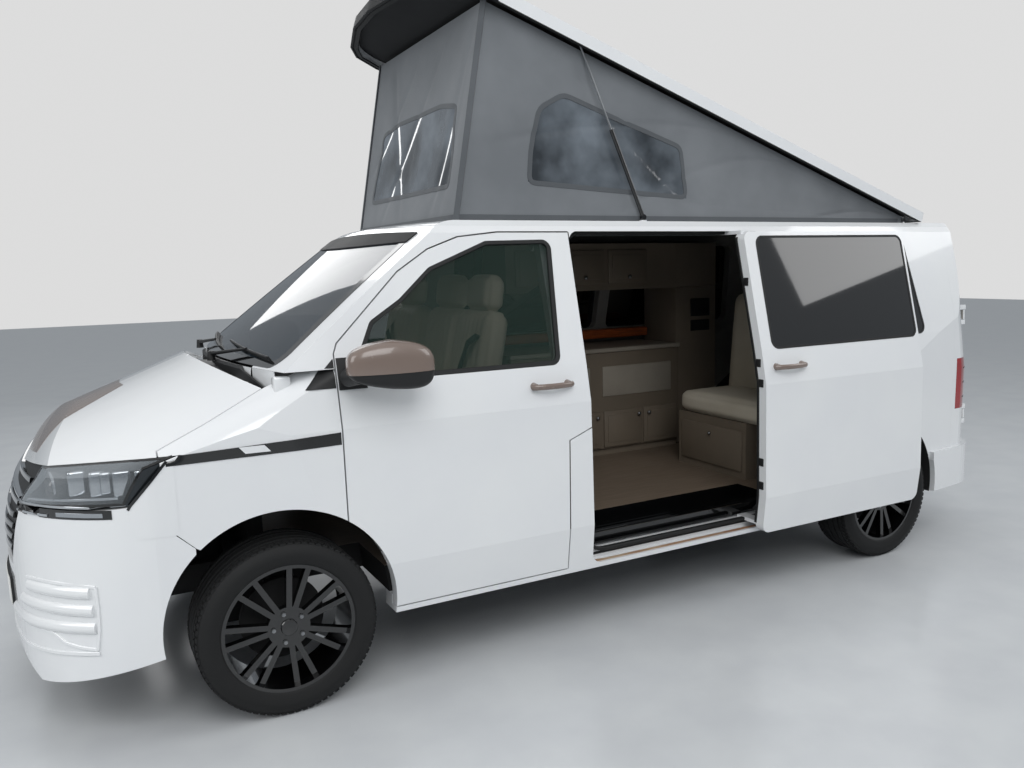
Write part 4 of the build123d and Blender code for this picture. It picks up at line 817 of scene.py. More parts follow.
@dataclass(frozen=True)
class Wheel:
    """Tyre tread, bolts and cap of one wheel."""

    x: float
    side: int
    place: str
    z: float = 0.350
    y: float = 0.814
    radius: float = 0.350
    tread_end: float = 0.094
    crown: float = 1.1364
    crown_drop: float = 0.010
    shoulder: tuple = ((0.100, 0.252), (0.112, 0.262), (0.1225, 0.292), (0.1215, 0.308), (0.1155, 0.327),
                       (0.106, 0.3395), (0.096, 0.3425))
    grooves: tuple = (-0.062, -0.022, 0.022, 0.062)
    groove_half: float = 0.0055
    groove_floor_half: float = 0.0045
    groove_depth: float = 0.008
    groove_lip: float = 0.0008
    blocks: int = 78
    # Place from the wheel's middle, height and length of the blocks of each row
    block_rows: tuple = ((0.0985, 0.3415, 0.020), (0.078, 0.3455, 0.022))
    block_share: float = 0.72
    block_height: float = 0.007
    bolts: int = 5
    bolt_circle: float = 0.060
    # Start, end, radius, end radius and sides of a bolt's head and of its socket
    bolt_steps: tuple = ((-0.006, 0.010, 0.0095, 0.0085, 6), (0.0095, 0.0115, 0.0055, 0.0045, 12))
    cap: tuple = ((-0.004, 0.033), (0.004, 0.033), (0.0075, 0.030), (0.009, 0.020), (0.0095, 0.0005))
    lip: tuple = ((0.068, 0.2445), (0.082, 0.2465), (0.086, 0.2500), (0.085, 0.2545), (0.079, 0.2560))
    valve: tuple = ((0.225, 0.050, 0.02), (0.215, 0.075, 0.02))
    valve_radius: float = 0.004

    def build(self) -> None:
        """Make the pieces of this wheel."""
        middle = Vector((self.x, self.side * self.y, self.z))
        self._tyre(middle)
        self._hub(middle)

    def _tyre(self, middle: Vector) -> None:
        """Turn the tyre with its grooves and set blocks round its shoulders.

        Args:
            middle: the wheel's middle.
        """
        outline = [(-a, r) for a, r in self.shoulder]
        edge = -self.tread_end
        for groove in self.grooves:
            outline += [(edge, self.radius - self.crown * edge * edge),
                        (groove - self.groove_half, self.radius - self.groove_lip),
                        (groove - self.groove_floor_half, self.radius - self.groove_depth),
                        (groove + self.groove_floor_half, self.radius - self.groove_depth)]
            edge = groove + self.groove_half
        outline += [(edge, self.radius - self.groove_lip), (self.tread_end, self.radius - self.crown_drop),
                    *self.shoulder[::-1]]
        form = Form(f"tyre_tread_{self.place}")
        form.turned(outline, middle, (0, self.side, 0), 96)
        pitch = 2 * math.pi / self.blocks
        for row, (along, height, long) in enumerate(self.block_rows):
            size = Matrix.Diagonal((height * pitch * self.block_share, long, self.block_height, 1))
            for end in (-1, 1):
                for i in range(self.blocks):
                    turn = Matrix.Rotation(pitch * (i + 0.5 * row + 0.25 * end), 4, "Y")
                    place = Matrix.Translation((0, end * along * self.side, height)) @ size
                    bmesh.ops.create_cube(form.bm, size=1.0, matrix=Matrix.Translation(middle) @ turn @ place)
        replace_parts(form.made(TYRE, f"wheel_{self.place}", 30), f"tyre_{self.place}")

    def _hub(self, middle: Vector) -> None:
        """Set bolts, a plain centre cap, a lip and a valve on the rim.

        Args:
            middle: the wheel's middle.
        """
        face = Surface(f"rim_{self.place}")
        out = Vector((0, self.side, 0))
        caps = Form(f"wheel_bolts_{self.place}")
        for i in range(self.bolts):
            angle = 2 * math.pi * i / self.bolts
            point, _ = face.side(self.x + self.bolt_circle * math.cos(angle),
                                 self.z + self.bolt_circle * math.sin(angle), self.side)
            for low, high, *rest in self.bolt_steps:
                caps.bar(point + out * low, point + out * high, *rest)
        caps.made(STEEL, f"wheel_{self.place}")
        cap = Form(f"wheel_cap_{self.place}")
        cap.turned(self.cap, face.side(self.x, self.z, self.side)[0], out)
        cap.turned(self.lip, middle, out, 96)
        cap.bar(*(middle + mirrored(p, self.side) for p in self.valve), self.valve_radius)
        cap.made(RIM, f"wheel_{self.place}", 30)


@dataclass(frozen=True)
class Front:
    """Grille ribs, lamps, bumper details, bonnet panel and side strips."""

    # Height and half width of each rib
    grille_ribs: tuple = ((0.940, 0.490), (0.862, 0.490), (0.812, 0.455), (0.762, 0.415), (0.712, 0.375),
                          (0.665, 0.340))
    rib_rise: float = 0.060
    rib_strip: Point = (0.022, 0.012, 0.004)
    chrome_z: float = 0.898
    chrome_half: float = 0.505
    chrome_rise: float = 0.028
    chrome_strip: Point = (0.014, 0.016, 0.004)
    bumper_rib: tuple = ((-0.024, -0.004), (0.024, -0.004), (0.021, 0.004), (0.013, 0.010), (0.004, 0.013),
                         (-0.004, 0.013), (-0.013, 0.010), (-0.021, 0.004))
    # Width and height at both ends of each rib
    bumper_ribs: tuple = (((0.54, 0.588), (0.790, 0.594)), ((0.47, 0.520), (0.795, 0.528)),
                          ((0.29, 0.432), (0.797, 0.462)))
    recess_strip: Point = (0.012, 0.005, 0.004)
    recess_edges: tuple = (((0.805, 0.618), (0.806, 0.540), (0.804, 0.460), (0.796, 0.380)),
                           ((0.600, 0.432), (0.660, 0.425), (0.702, 0.396), (0.750, 0.385), (0.796, 0.380)),
                           ((0.530, 0.618), (0.600, 0.624), (0.700, 0.624), (0.805, 0.618)))
    lip_z: float = 0.322
    lip_half: float = 0.80
    lip_rise: float = 0.045
    lip_strip: Point = (0.014, 0.006, 0.004)
    # Half width, heights, distance out and thickness
    holder: tuple = (0.27, (0.425, 0.550), 0.010, 0.012)
    plate: tuple = (0.26, (0.432, 0.543), 0.013, 0.004)
    bonnet_lip_z: float = 0.985
    bonnet_lip_rise: float = 0.125
    panel_half: float = 0.30
    panel_taper: float = 0.19
    panel_length: float = 0.36
    panel_setback: float = 0.012
    panel_film: float = 0.0012
    bowl: tuple = ((-0.030, 0.0005), (-0.026, 0.030), (-0.010, 0.048), (0.012, 0.056), (0.012, 0.060),
                   (-0.030, 0.060))
    bowl_ring: tuple = ((0.006, 0.0565), (0.014, 0.0565), (0.014, 0.0605), (0.006, 0.0605))
    # Width and height of its middle, and its depth behind the lens
    bowl_place: Point = (0.655, 0.972, 0.050)
    bulb: Point = (0.024, 0.030, 0.030)
    blocks_z: float = 0.985
    block_radius: float = 0.010
    # Width at its middle, width and depth behind the lens of each reflector that faces forward
    blocks_ahead: tuple = ((0.735, 0.030, 0.030), (0.790, 0.026, 0.034), (0.835, 0.018, 0.040))
    # Length at its middle and length of each reflector that faces sideways
    blocks_beside: tuple = ((2.285, 0.040), (2.232, 0.036), (2.180, 0.032))
    bezel_strip: Point = (0.010, 0.002, 0.004)
    guide_strip: Point = (0.010, 0.006, 0.006)
    chrome_line: Point = (0.009, 0.004, 0.002)
    slim_strip: Point = (0.034, 0.001, 0.002)
    light_strip: Point = (0.016, 0.002, 0.002)
    corner_strip: Point = (0.010, 0.002, 0.002)
    # Width at both ends, height in the middle plane, rise per metre of width, distance out, and steps
    upper_chrome: tuple = (0.525, 0.862, 0.912, 0.0, 0.001, 24)
    lower_chrome: tuple = (0.515, 0.69, 0.878, 0.0, 0.002, 16)
    slim_lamp: tuple = (0.512, 0.850, 0.882, 0.004, 0.0008, 28)
    light: tuple = (0.72, 0.835, 0.884, 0.0, 0.0018, 12)
    guide: tuple = (0.555, 0.86, 0.921 - 0.55 / 15, 1 / 15, -0.016, 20)
    corner_low: float = 0.790
    corner_high: float = 1.066
    corner_rear: float = 2.070
    corner_front: float = 2.228
    # Height where the front edge starts to slant back, height over which it slants, and how far
    corner_slant: Point = (0.905, 0.161, 0.136)
    # Height below which the front edge leans back, and by how much per metre
    corner_tuck: tuple = (0.86, 0.30)
    corner_out: float = 0.0015
    strip_front: float = 2.095
    strip_rear: float = 1.470
    strip_low: tuple = (1.046, 0.010)
    strip_high: tuple = (1.080, 0.024)
    strip_out: float = 0.0026
    mark_front: float = 1.825
    mark_rear: float = 1.735
    mark_z: float = 1.063
    mark_height: float = 0.026
    mark_slant: float = 0.022
    mark_out: float = 0.0034

    def build(self) -> None:
        """Make every piece of the front."""
        nose = Surface("front_bumper", "grille", "bonnet", "headlamps", "wing_left", "wing_right")
        self._grille()
        self._bumper(nose)
        for name, finish, (half, heights, out, deep) in (("front_plate_holder", BLACK_PLASTIC, self.holder),
                                                         ("front_plate", PLATE, self.plate)):
            rows = [[nose.front(y, z, out)[0] for y in between(-half, half, 16)] for z in heights]
            panel(name, rows, (-deep, 0, 0), finish)
        self._bonnet_panel()
        Screen().build()
        for side, name in SIDES:
            self._lamp(side, name)
            self._lamp_trim(nose, side, name)
            self._corner(side, name)
            self._strip(side, name)

    def _grille(self) -> None:
        """Curved ribs that narrow to the grille's lower tip, and a chrome strip."""
        face = Surface("grille")
        ribs = Form("grille_ribs")
        for z, half in self.grille_ribs:
            path = [face.front(y, z + self.rib_rise * abs(y))[0] for y in between(-half, half, 32)]
            ribs.swept(path, strip(*self.rib_strip), lambda i: Vector((1, 0, 0.25)))
        ribs.made(BLACK_GLOSS)
        chrome = Form("grille_chrome")
        path = [face.front(y, self.chrome_z + self.chrome_rise * abs(y))[0]
                for y in between(-self.chrome_half, self.chrome_half, 32)]
        chrome.swept(path, strip(*self.chrome_strip), lambda i: Vector((1, 0, 0.1)))
        chrome.made(CHROME)

    def _bumper(self, nose: Surface) -> None:
        """Body-coloured ribs each side, the recess's edges and a lip line.

        Args:
            nose: the surface of the van's front.
        """
        ribs = Form("bumper_ribs")
        for side, _ in SIDES:
            for start, end in self.bumper_ribs:
                found = [nose.front(side * y, z) for y, z in zip(between(start[0], end[0], 24),
                                                                 between(start[1], end[1], 24))]
                ribs.swept([p for p, _ in found], self.bumper_rib, lambda i, f=found: f[i][1])
            for corners in self.recess_edges:
                ribbon(ribs, [nose.front(side * y, z) for y, z in corners], *self.recess_strip)
        found = [nose.front(y, self.lip_z + self.lip_rise * (y / self.lip_half) ** 2)
                 for y in between(-self.lip_half, self.lip_half, 48)]
        ribbon(ribs, found, *self.lip_strip)
        ribs.made(PAINT, smooth=40)

    def _bonnet_panel(self) -> None:
        """A taupe panel that follows the bonnet's leading edge."""
        face = Surface("bonnet")
        rows = []
        for back in between(0, 1, 24):
            row = []
            for across in between(-1, 1, 24):
                y = across * (self.panel_half - self.panel_taper * back)
                lead = face.front(y, self.bonnet_lip_z + self.bonnet_lip_rise * abs(y))[0].x
                place = lead - self.panel_setback - back * self.panel_length
                row.append(face.top(place, y, self.panel_film)[0])
            rows.append(row)
        panel("bonnet_panel", rows, (-0.0004, 0, -0.0008), TAUPE, "bonnet", 60)

    def _lamp(self, side: int, name: str) -> None:
        """The works inside a headlamp: a bowl with its ball and ring, and rows of reflectors.

        Args:
            side: 1 for the left, -1 for the right.
            name: the side's name.
        """
        face = Surface("headlamps")
        dark = Form(f"lamp_bowl_{name}")
        bright = Form(f"lamp_reflectors_{name}")
        y, z, deep = self.bowl_place
        middle = face.front(side * y, z)[0] - Vector((deep, 0, 0))
        dark.turned(self.bowl, middle, (1, side * 0.25, 0))
        dark.ball(middle - Vector((0.004, 0, 0)), self.bulb)
        for y, width, deep in self.blocks_ahead:
            point, _ = face.front(side * y, self.blocks_z)
            bright.box(point + Vector((-deep - 0.06, -width / 2, -0.042)),
                       point + Vector((-deep, width / 2, 0.052)), self.block_radius, 3)
        for x, width in self.blocks_beside:
            point, _ = face.side(x, self.blocks_z, side)
            bright.box(point + mirrored((-width / 2, -0.075, -0.035), side),
                       point + mirrored((width / 2, -0.030, 0.050), side), self.block_radius, 3)
        bright.turned(self.bowl_ring, middle, (1, side * 0.25, 0))
        ribbon(bright, self._line(face, side, *self.guide), *self.guide_strip)
        dark.made(BLACK_GLOSS)
        bright.made(LAMP_DISC)

    def _lamp_trim(self, nose: Surface, side: int, name: str) -> None:
        """Edge round a headlamp, its chrome strips and the slim lamp below it.

        Args:
            nose: the surface of the van's front.
            side: 1 for the left, -1 for the right.
            name: the side's name.
        """
        loops = rims("headlamps", lambda c, n: Shell.lens(c, n) and c.y * side > 0)
        edging(f"lamp_bezel_{name}", loops, self.bezel_strip, -0.003, BLACK_GLOSS)
        chrome = [(self._line(nose, side, *line), self.chrome_line)
                  for line in (self.upper_chrome, self.lower_chrome)]
        trim(f"lamp_chrome_{name}", chrome, CHROME, slot=LAMP_DISC.slot)
        for part, line, size, finish in (("slim", self.slim_lamp, self.slim_strip, BLACK_GLOSS),
                                         ("lower", self.light, self.light_strip, LAMP_DISC)):
            trim(f"lamp_{part}_{name}", ((self._line(nose, side, *line), size),), finish)

    @staticmethod
    def _line(face: Surface, side: int, start: float, end: float, z: float, rise: float, out: float,
              steps: int) -> Found:
        """Points and normals along a line on one side of the van's front.

        Args:
            face: the surface that it lies on.
            side: 1 for the left, -1 for the right.
            start: width of its inner end.
            end: width of its outer end.
            z: height that it would have in the middle plane.
            rise: rise per metre of width.
            out: distance out from the surface.
            steps: number of steps.

        Returns:
            The points and normals.
        """
        return [face.front(side * y, z + rise * y, out) for y in between(start, end, steps)]

    def _corner(self, side: int, name: str) -> None:
        """Painted corner that slants across the lamp's outer end, with its black edge.

        Args:
            side: 1 for the left, -1 for the right.
            name: the side's name.
        """
        (slant_z, slant_height, slant_back), (tuck_z, tuck) = self.corner_slant, self.corner_tuck
        rows, slant = [], []
        for z in between(self.corner_low, self.corner_high, 20):
            lead = (self.corner_front - slant_back * max(0.0, z - slant_z) / slant_height
                    - tuck * max(0.0, tuck_z - z))
            rows.append([mirrored((x, SKIN.side(x, z) + self.corner_out, z), side)
                         for x in between(self.corner_rear, lead, 8)])
            if z > 0.90:
                slant.append((rows[-1][-1], Vector((0.35, side, 0))))
        panel(f"lamp_corner_{name}", rows, (0, -side * 0.004, 0), PAINT, smooth=60)
        trim(f"lamp_corner_edge_{name}", ((slant, self.corner_strip),), BLACK_GLOSS)

    def _strip(self, side: int, name: str) -> None:
        """The black side strip with its white slanted mark.

        Args:
            side: 1 for the left, -1 for the right.
            name: the side's name.
        """
        face = Surface(f"wing_{name}", "headlamps")
        rows = []
        for x in between(self.strip_front, self.strip_rear, 40):
            back = (self.strip_front - x) / (self.strip_front - self.strip_rear)
            low, high = (z + rise * back for z, rise in (self.strip_low, self.strip_high))
            rows.append([face.side(x, z, side, self.strip_out)[0] for z in between(low, high, 2)])
        panel(f"side_strip_{name}", rows, (0, -side * 0.003, 0), BLACK_GLOSS, smooth=60)
        rows = [[face.side(x + self.mark_slant * t, self.mark_z + self.mark_height * t, side, self.mark_out)[0]
                 for t in (0, 0.5, 1)] for x in between(self.mark_front, self.mark_rear, 6)]
        panel(f"side_strip_mark_{name}", rows, (0, -side * 0.002, 0), PAINT, smooth=60)


@dataclass(frozen=True)
class Screen:
    """Windscreen border, header strip, cowl and wipers."""

    foot_x: float = -1.7
    foot_radius: float = 3.473
    foot_z: float = 1.344
    header_x: float = 1.085
    header_depth: float = 0.080
    header_half: float = 0.68
    # How far the strip's rear and front edges curve back at the bow's width
    header_bow: tuple = (0.072, 0.100)
    bow_half: float = 0.7
    header_out: float = 0.006
    roof_top: float = 2.2
    cowl_split: float = 0.42
    cowl_end: float = 0.60
    cowl_lead: float = 1.880
    cowl_sweep: float = 0.170
    cowl_half: float = 0.79
    cowl_setback: float = 0.10
    cowl_z: float = 1.334
    cowl_drop: float = 0.046
    cowl_drop_half: float = 0.5
    bonnet_z: float = 1.262
    skirt_end: float = 0.800
    skirt_heights: Point = (1.344, 1.30, 1.255)
    corner: tuple = ((1.625, 0.794, 1.200), (1.690, 0.852, 1.326))
    # Width of each wiper's pivot and of its blade's two ends
    wipers: tuple = ((0.12, 0.70, 0.10), (-0.62, 0.02, -0.52))
    wiper_z: float = 1.375
    wiper_rise: float = 0.03
    wiper_out: float = 0.014
    blade_strip: Point = (0.010, 0.010, 0.012)
    pivot_z: float = 1.362
    pivot_out: float = 0.035

    def foot(self, y: float) -> float:
        """Length of the windscreen's foot at a width."""
        return self.foot_x + math.sqrt(self.foot_radius ** 2 - y * y)

    def build(self) -> None:
        """Make every piece round the windscreen."""
        loops = rims("windscreen", lambda c, n: n.x > 0.3 and n.z > 0.1, 0.02)
        edging("screen_border", loops, (0.040, 0.002, 0.004), -0.018, BLACK_GLOSS)
        roof = Surface("roof_frame", "body_side_left", "body_side_right", "windscreen")
        rear_bow, front_bow = self.header_bow
        rows = []
        for t in between(0, 1, 8):
            row = []
            for y in between(-self.header_half, self.header_half, 40):
                bow = (rear_bow + (front_bow - rear_bow) * t) * (y / self.bow_half) ** 2
                place = self.header_x + self.header_depth * t - bow
                row.append(roof.top(place, y, self.header_out, self.roof_top)[0])
            rows.append(row)
        panel("header_strip", rows, (-0.004, 0, -0.010), RUBBER, smooth=60)
        self._cowl()
        self._wipers()

    def _cowl(self) -> None:
        """Panel between the windscreen's foot and the bonnet's rear edge, black in the middle.

        It stays ahead of the glass and clear of the bonnet's rear edge as that swings down.
        """
        for name, start, end, finish in (("cowl_left", self.cowl_split, self.cowl_end, PAINT),
                                         ("cowl_middle", -self.cowl_split, self.cowl_split, BLACK_PLASTIC),
                                         ("cowl_right", -self.cowl_end, -self.cowl_split, PAINT)):
            rows = []
            for y in between(start, end, 12):
                foot = self.foot(y)
                lead = (self.cowl_lead - self.cowl_sweep * (y / self.cowl_half) ** 2
                        - self.cowl_setback * max(0.0, abs(y) - self.cowl_split))
                low = self.cowl_z - self.cowl_drop * min(1.0, abs(y) / self.cowl_drop_half)
                section = ((foot + 0.002, self.foot_z), (foot + 0.004, self.cowl_z),
                           (foot + 0.007, low + 0.006), (foot + 0.014, low), (lead, low - 0.004),
                           (lead + 0.004, self.bonnet_z))
                rows.append([Vector((x, y, z)) for x, z in section])
            panel(name, rows, (0, 0, -0.003), finish, smooth=30)
        for side, name in SIDES:
            rows = [[mirrored((self.foot(y) - 0.001, y, z), side) for z in self.skirt_heights]
                    for y in between(self.cowl_end, self.skirt_end, 6)]
            panel(f"cowl_skirt_{name}", rows, (-0.004, 0, 0), PAINT, smooth=30)
        for side, name in SIDES:
            corner = Form(f"cowl_corner_{name}")
            corner.box(*(mirrored(p, side) for p in self.corner), 0.010)
            corner.made(PAINT, smooth=40)

    def _wipers(self) -> None:
        """Two blades on the glass, each with its arm and its pivot."""
        glass = Surface("windscreen")
        wipers = Form("wipers")
        for pivot, start, end in self.wipers:
            blade = [glass.front(y, self.wiper_z + self.wiper_rise * t, self.wiper_out)
                     for t, y in zip(between(0, 1, 14), between(start, end, 14))]
            ribbon(wipers, blade, *self.blade_strip)
            foot = glass.front(pivot, self.pivot_z, self.pivot_out)[0] + Vector((0.03, 0, -0.02))
            wipers.bar(foot, blade[6][0] + blade[6][1] * 0.012, 0.009, 0.006, 12)
            wipers.bar(foot + Vector((0, 0, -0.03)), foot + Vector((0, 0, 0.012)), 0.018, 0.014, 20)
        wipers.made(BLACK_PLASTIC)


@dataclass(frozen=True)
class Mirror:
    """Rounded housing of a mirror, taupe above and black below, with its arm."""

    middle: Point = (1.300, 1.066, 1.366)
    half: Point = (0.168, 0.076, 0.094)
    square: float = 0.62
    cap_grow: float = 0.001
    shell_grow: float = -0.002
    cap_low: float = 1.338
    arms: tuple = (((1.405, 1.020, 1.325), (1.425, 0.930, 1.312), 0.030, 0.036),
                   ((1.385, 1.045, 1.330), (1.415, 0.960, 1.316), 0.030, 0.032))

    def build(self, side: int, name: str) -> None:
        """Make one mirror.

        Args:
            side: 1 for the left, -1 for the right.
            name: the side's name.
        """
        body = f"front_door_{name}"
        shell = Form(f"mirror_shell_{name}")
        self._housing(shell, side, self.shell_grow, 1.2)
        for start, end, radius, radius_end in self.arms:
            shell.bar(mirrored(start, side), mirrored(end, side), radius, radius_end)
        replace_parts(shell.made(BLACK_PLASTIC, body, 60), f"mirror_{name}")
        cap = Form(f"mirror_cap_{name}")
        self._housing(cap, side, self.cap_grow, self.cap_low)
        cap.made(TAUPE, body, 60)

    def _housing(self, form: Form, side: int, grow: float, low: float) -> None:
        """Add the part of the rounded housing above a height.

        Args:
            form: the form that takes it.
            side: 1 for the left, -1 for the right.
            grow: how much larger it is than the named sizes.
            low: the height.
        """
        middle = mirrored(self.middle, side)
        half = Vector(self.half) + Vector((grow, grow, grow))
        for vert in bmesh.ops.create_uvsphere(form.bm, u_segments=48, v_segments=32, radius=1.0)["verts"]:
            shape = [math.copysign(abs(c) ** self.square, c) for c in vert.co]
            size = 1.0 - 0.20 * max(0.0, shape[0]) - 0.10 * max(0.0, -shape[2]) * max(0.0, shape[0])
            vert.co = middle + Vector((shape[0] * half.x, side * shape[1] * half.y * size,
                                       shape[2] * half.z * size - 0.018 * max(0.0, -shape[0])))
        bmesh.ops.bisect_plane(form.bm, geom=form.bm.verts[:] + form.bm.edges[:] + form.bm.faces[:],
                               plane_co=(0, 0, low), plane_no=(0, 0, -1), clear_outer=True)


@dataclass(frozen=True)
class Sides:
    """Window seals, handles, doorway seals and the sill's rail."""

    sail_x: tuple = (1.345, 1.457)
    sail_z: tuple = (1.262, 1.385)
    foot_x: tuple = (1.469, 1.585)
    foot_z: tuple = (1.272, 1.382)
    foot_slant: float = 1.035
    # Length of both ends, and height
    door_handle: Point = (0.420, 0.622, 1.202)
    sliding_handle: Point = (-0.898, -0.692, 1.198)
    doorway_x: tuple = (-0.860, 0.318)
    doorway_z: tuple = (0.392, 1.868)
    doorway_radius: float = 0.09
    doorway_inset: float = 0.052
    door_edge_x: float = -0.640
    # Length at which the body's side gives the open door's curve, and the door's distance out from it
    door_curve_x: float = 0.30
    door_seal_out: float = 0.054
    door_seal_z: tuple = (0.400, 1.840)
    # Nearest and farthest distance out from the body's side, depth and half height of a catch
    catch: tuple = (0.062, 0.094, 0.0175, 0.020)
    catch_heights: tuple = (0.60, 0.72, 1.12, 1.22, 1.62)
    # Both ends' length, and the width or the height that it runs at
    rail: Point = (-0.84, 0.29, 0.905)
    sill: Point = (-0.86, 0.31, 0.372)
    tread_ys: tuple = (0.672, 0.706, 0.740, 0.774)
    tread_x: tuple = (-0.78, 0.25)

    def build(self) -> None:
        """Make every piece of the sides."""
        loops = [loop for side, _ in SIDES
                 for loop in rims("side_glass", lambda c, n, s=side: n.y * s > 0.5 and c.y * s > 0)]
        edging("side_glass_seals", loops, (0.012, 0.002, 0.006), -0.003, RUBBER)
        for side, name in SIDES:
            self._door(side, name)
            Mirror().build(side, name)
        self._handle(Surface("sliding_door"), "sliding_handle", "body", self.sliding_handle, 1)
        self._doorway()
        self._sill()

    def _door(self, side: int, name: str) -> None:
        """Glass seal, sail triangle, pillar foot and handle of a front door.

        Args:
            side: 1 for the left, -1 for the right.
            name: the side's name.
        """
        body = f"front_door_{name}"
        loops = rims(f"door_glass_{name}", lambda c, n: n.y * side > 0.5)
        edging(f"door_glass_seal_{name}", loops, (0.022, 0.009, 0.004), -0.008, RUBBER, body)
        face = Surface(body, f"door_glass_{name}")
        rows = [[face.side(x, z, side, 0.004)[0] for x in between(*self.sail_x, 8)]
                for z in between(*self.sail_z, 8)]
        panel(f"sail_panel_{name}", rows, (0, -side * 0.008, 0), BLACK_PLASTIC, body, 60)
        wing = Surface(f"wing_{name}", f"body_side_{name}")
        rows = []
        for z in between(*self.foot_z, 10):
            lead = self.foot_x[1] - (z - self.foot_z[0]) * self.foot_slant
            rows.append([wing.side(x, z, side, 0.003)[0] for x in between(self.foot_x[0], lead, 8)])
        panel(f"pillar_foot_panel_{name}", rows, (0, -side * 0.006, 0), BLACK_PLASTIC, smooth=60)
        self._handle(face, f"door_handle_{name}", body, self.door_handle, side)

    @staticmethod
    def _handle(face: Surface, name: str, body: str, place: Point, side: int) -> None:
        """A grab handle with two feet.

        Args:
            face: the surface behind it.
            name: the piece's name.
            body: the body it rides on.
            place: x of its rear end, x of its front end and its height.
            side: 1 for the left, -1 for the right.
        """
        start, end, z = place
        out = Vector((0, side, 0))
        form = Form(name)
        path = [face.side(x, z, side)[0] + out * (0.016 + 0.026 * math.sin(math.pi * i / 16) ** 0.5)
                for i, x in enumerate(between(start, end, 16))]
        ring = [(0.013 * math.cos(a), 0.009 * math.sin(a)) for a in between(0, 2 * math.pi * 11 / 12, 11)]
        form.swept(path, ring, lambda i: out)
        for x in (start + 0.016, end - 0.016):
            point, _ = face.side(x, z, side)
            form.bar(point - out * 0.006, point + out * 0.026, 0.019, 0.014)
        form.made(TAUPE, body)

    def _doorway(self) -> None:
        """Seal round the doorway, and the seal and catches on the open door's front edge."""
        (rear, lead), (low, high) = self.doorway_x, self.doorway_z
        opening = rounded(((rear, low), (lead, low), (lead, high), (rear, high)), self.doorway_radius, 8)
        seal = Form("doorway_seal")
        path = [(x, SKIN.side(x, z) - self.doorway_inset, z) for x, z in dense(opening)]
        seal.swept(path, strip(0.016, 0.014, 0.010), lambda i: Vector((0, 1, 0)), True)
        seal.made(RUBBER)
        edge = Form("sliding_door_seal")
        x = self.door_edge_x
        path = [(x, SKIN.side(self.door_curve_x, z) + self.door_seal_out, z)
                for z in between(*self.door_seal_z, 40)]
        edge.swept(path, strip(0.020, 0.016, 0.004), lambda i: Vector((1, 0, 0)))
        near, far, depth, half = self.catch
        for z in self.catch_heights:
            y = SKIN.side(self.door_curve_x, z)
            edge.box((x, y + near, z - half), (x + depth, y + far, z + half))
        edge.made(RUBBER)

    def _sill(self) -> None:
        """Rail and strip of the sill, and the step's ribs."""
        sill = Surface("body_side_left", "floor_pan", "step_tray")
        start, end, y = self.rail
        found = [sill.top(x, y, 0.0, 0.60) for x in between(start, end, 24)]
        trim("sill_rail", ((found, (0.024, 0.0015, 0.002)),), RUST)
        start, end, z = self.sill
        found = [sill.side(x, z) for x in between(start, end, 24)]
        trim("sill_strip", ((found, (0.012, 0.004, 0.002)),), RUBBER)
        step = Surface("step_tray")
        strips = [([step.top(x, y, 0.0, 0.60) for x in between(*self.tread_x, 8)], (0.010, 0.005, 0.002))
                  for y in self.tread_ys]
        trim("step_ribs", strips, BLACK_GLOSS)


@dataclass(frozen=True)
class Tail:
    """Rear glass seals, plate, handle and lamps' bars."""

    plate_y: tuple = (-0.60, -0.10)
    plate_z: tuple = (0.88, 0.99)
    handle: Point = (-0.19, -0.06, 1.045)
    bar_y: tuple = (0.800, 0.870)
    bar_heights: Point = (0.865, 0.955, 1.045)

    def build(self) -> None:
        """Make every piece of the tail."""
        for _, name in SIDES:
            loops = rims(f"rear_glass_{name}", lambda c, n: n.x < -0.5)
            edging(f"rear_glass_seal_{name}", loops, (0.014, 0.003, 0.005), 0.0, RUBBER, f"rear_door_{name}")
        doors = Surface("rear_door_left", "rear_door_right", "rear_glass_left", "rear_glass_right")
        rows = [[doors.rear(y, z, 0.006)[0] for y in between(*self.plate_y, 8)] for z in self.plate_z]
        panel("rear_plate", rows, (0.004, 0, 0), PLATE, "rear_door_right")
        start, end, z = self.handle
        found = [doors.rear(y, z, 0.008) for y in between(start, end, 8)]
        trim("rear_handle", ((found, (0.030, 0.018, 0.010)),), TAUPE, "rear_door_right")
        lamps = Surface("tail_lamps")
        for side, name in SIDES:
            bars = [([lamps.rear(side * y, z, 0.001) for y in between(*self.bar_y, 8)], (0.006, 0.002, 0.002))
                    for z in self.bar_heights]
            trim(f"tail_lamp_bars_{name}", bars, BLACK_GLOSS, slot="lamp_red")


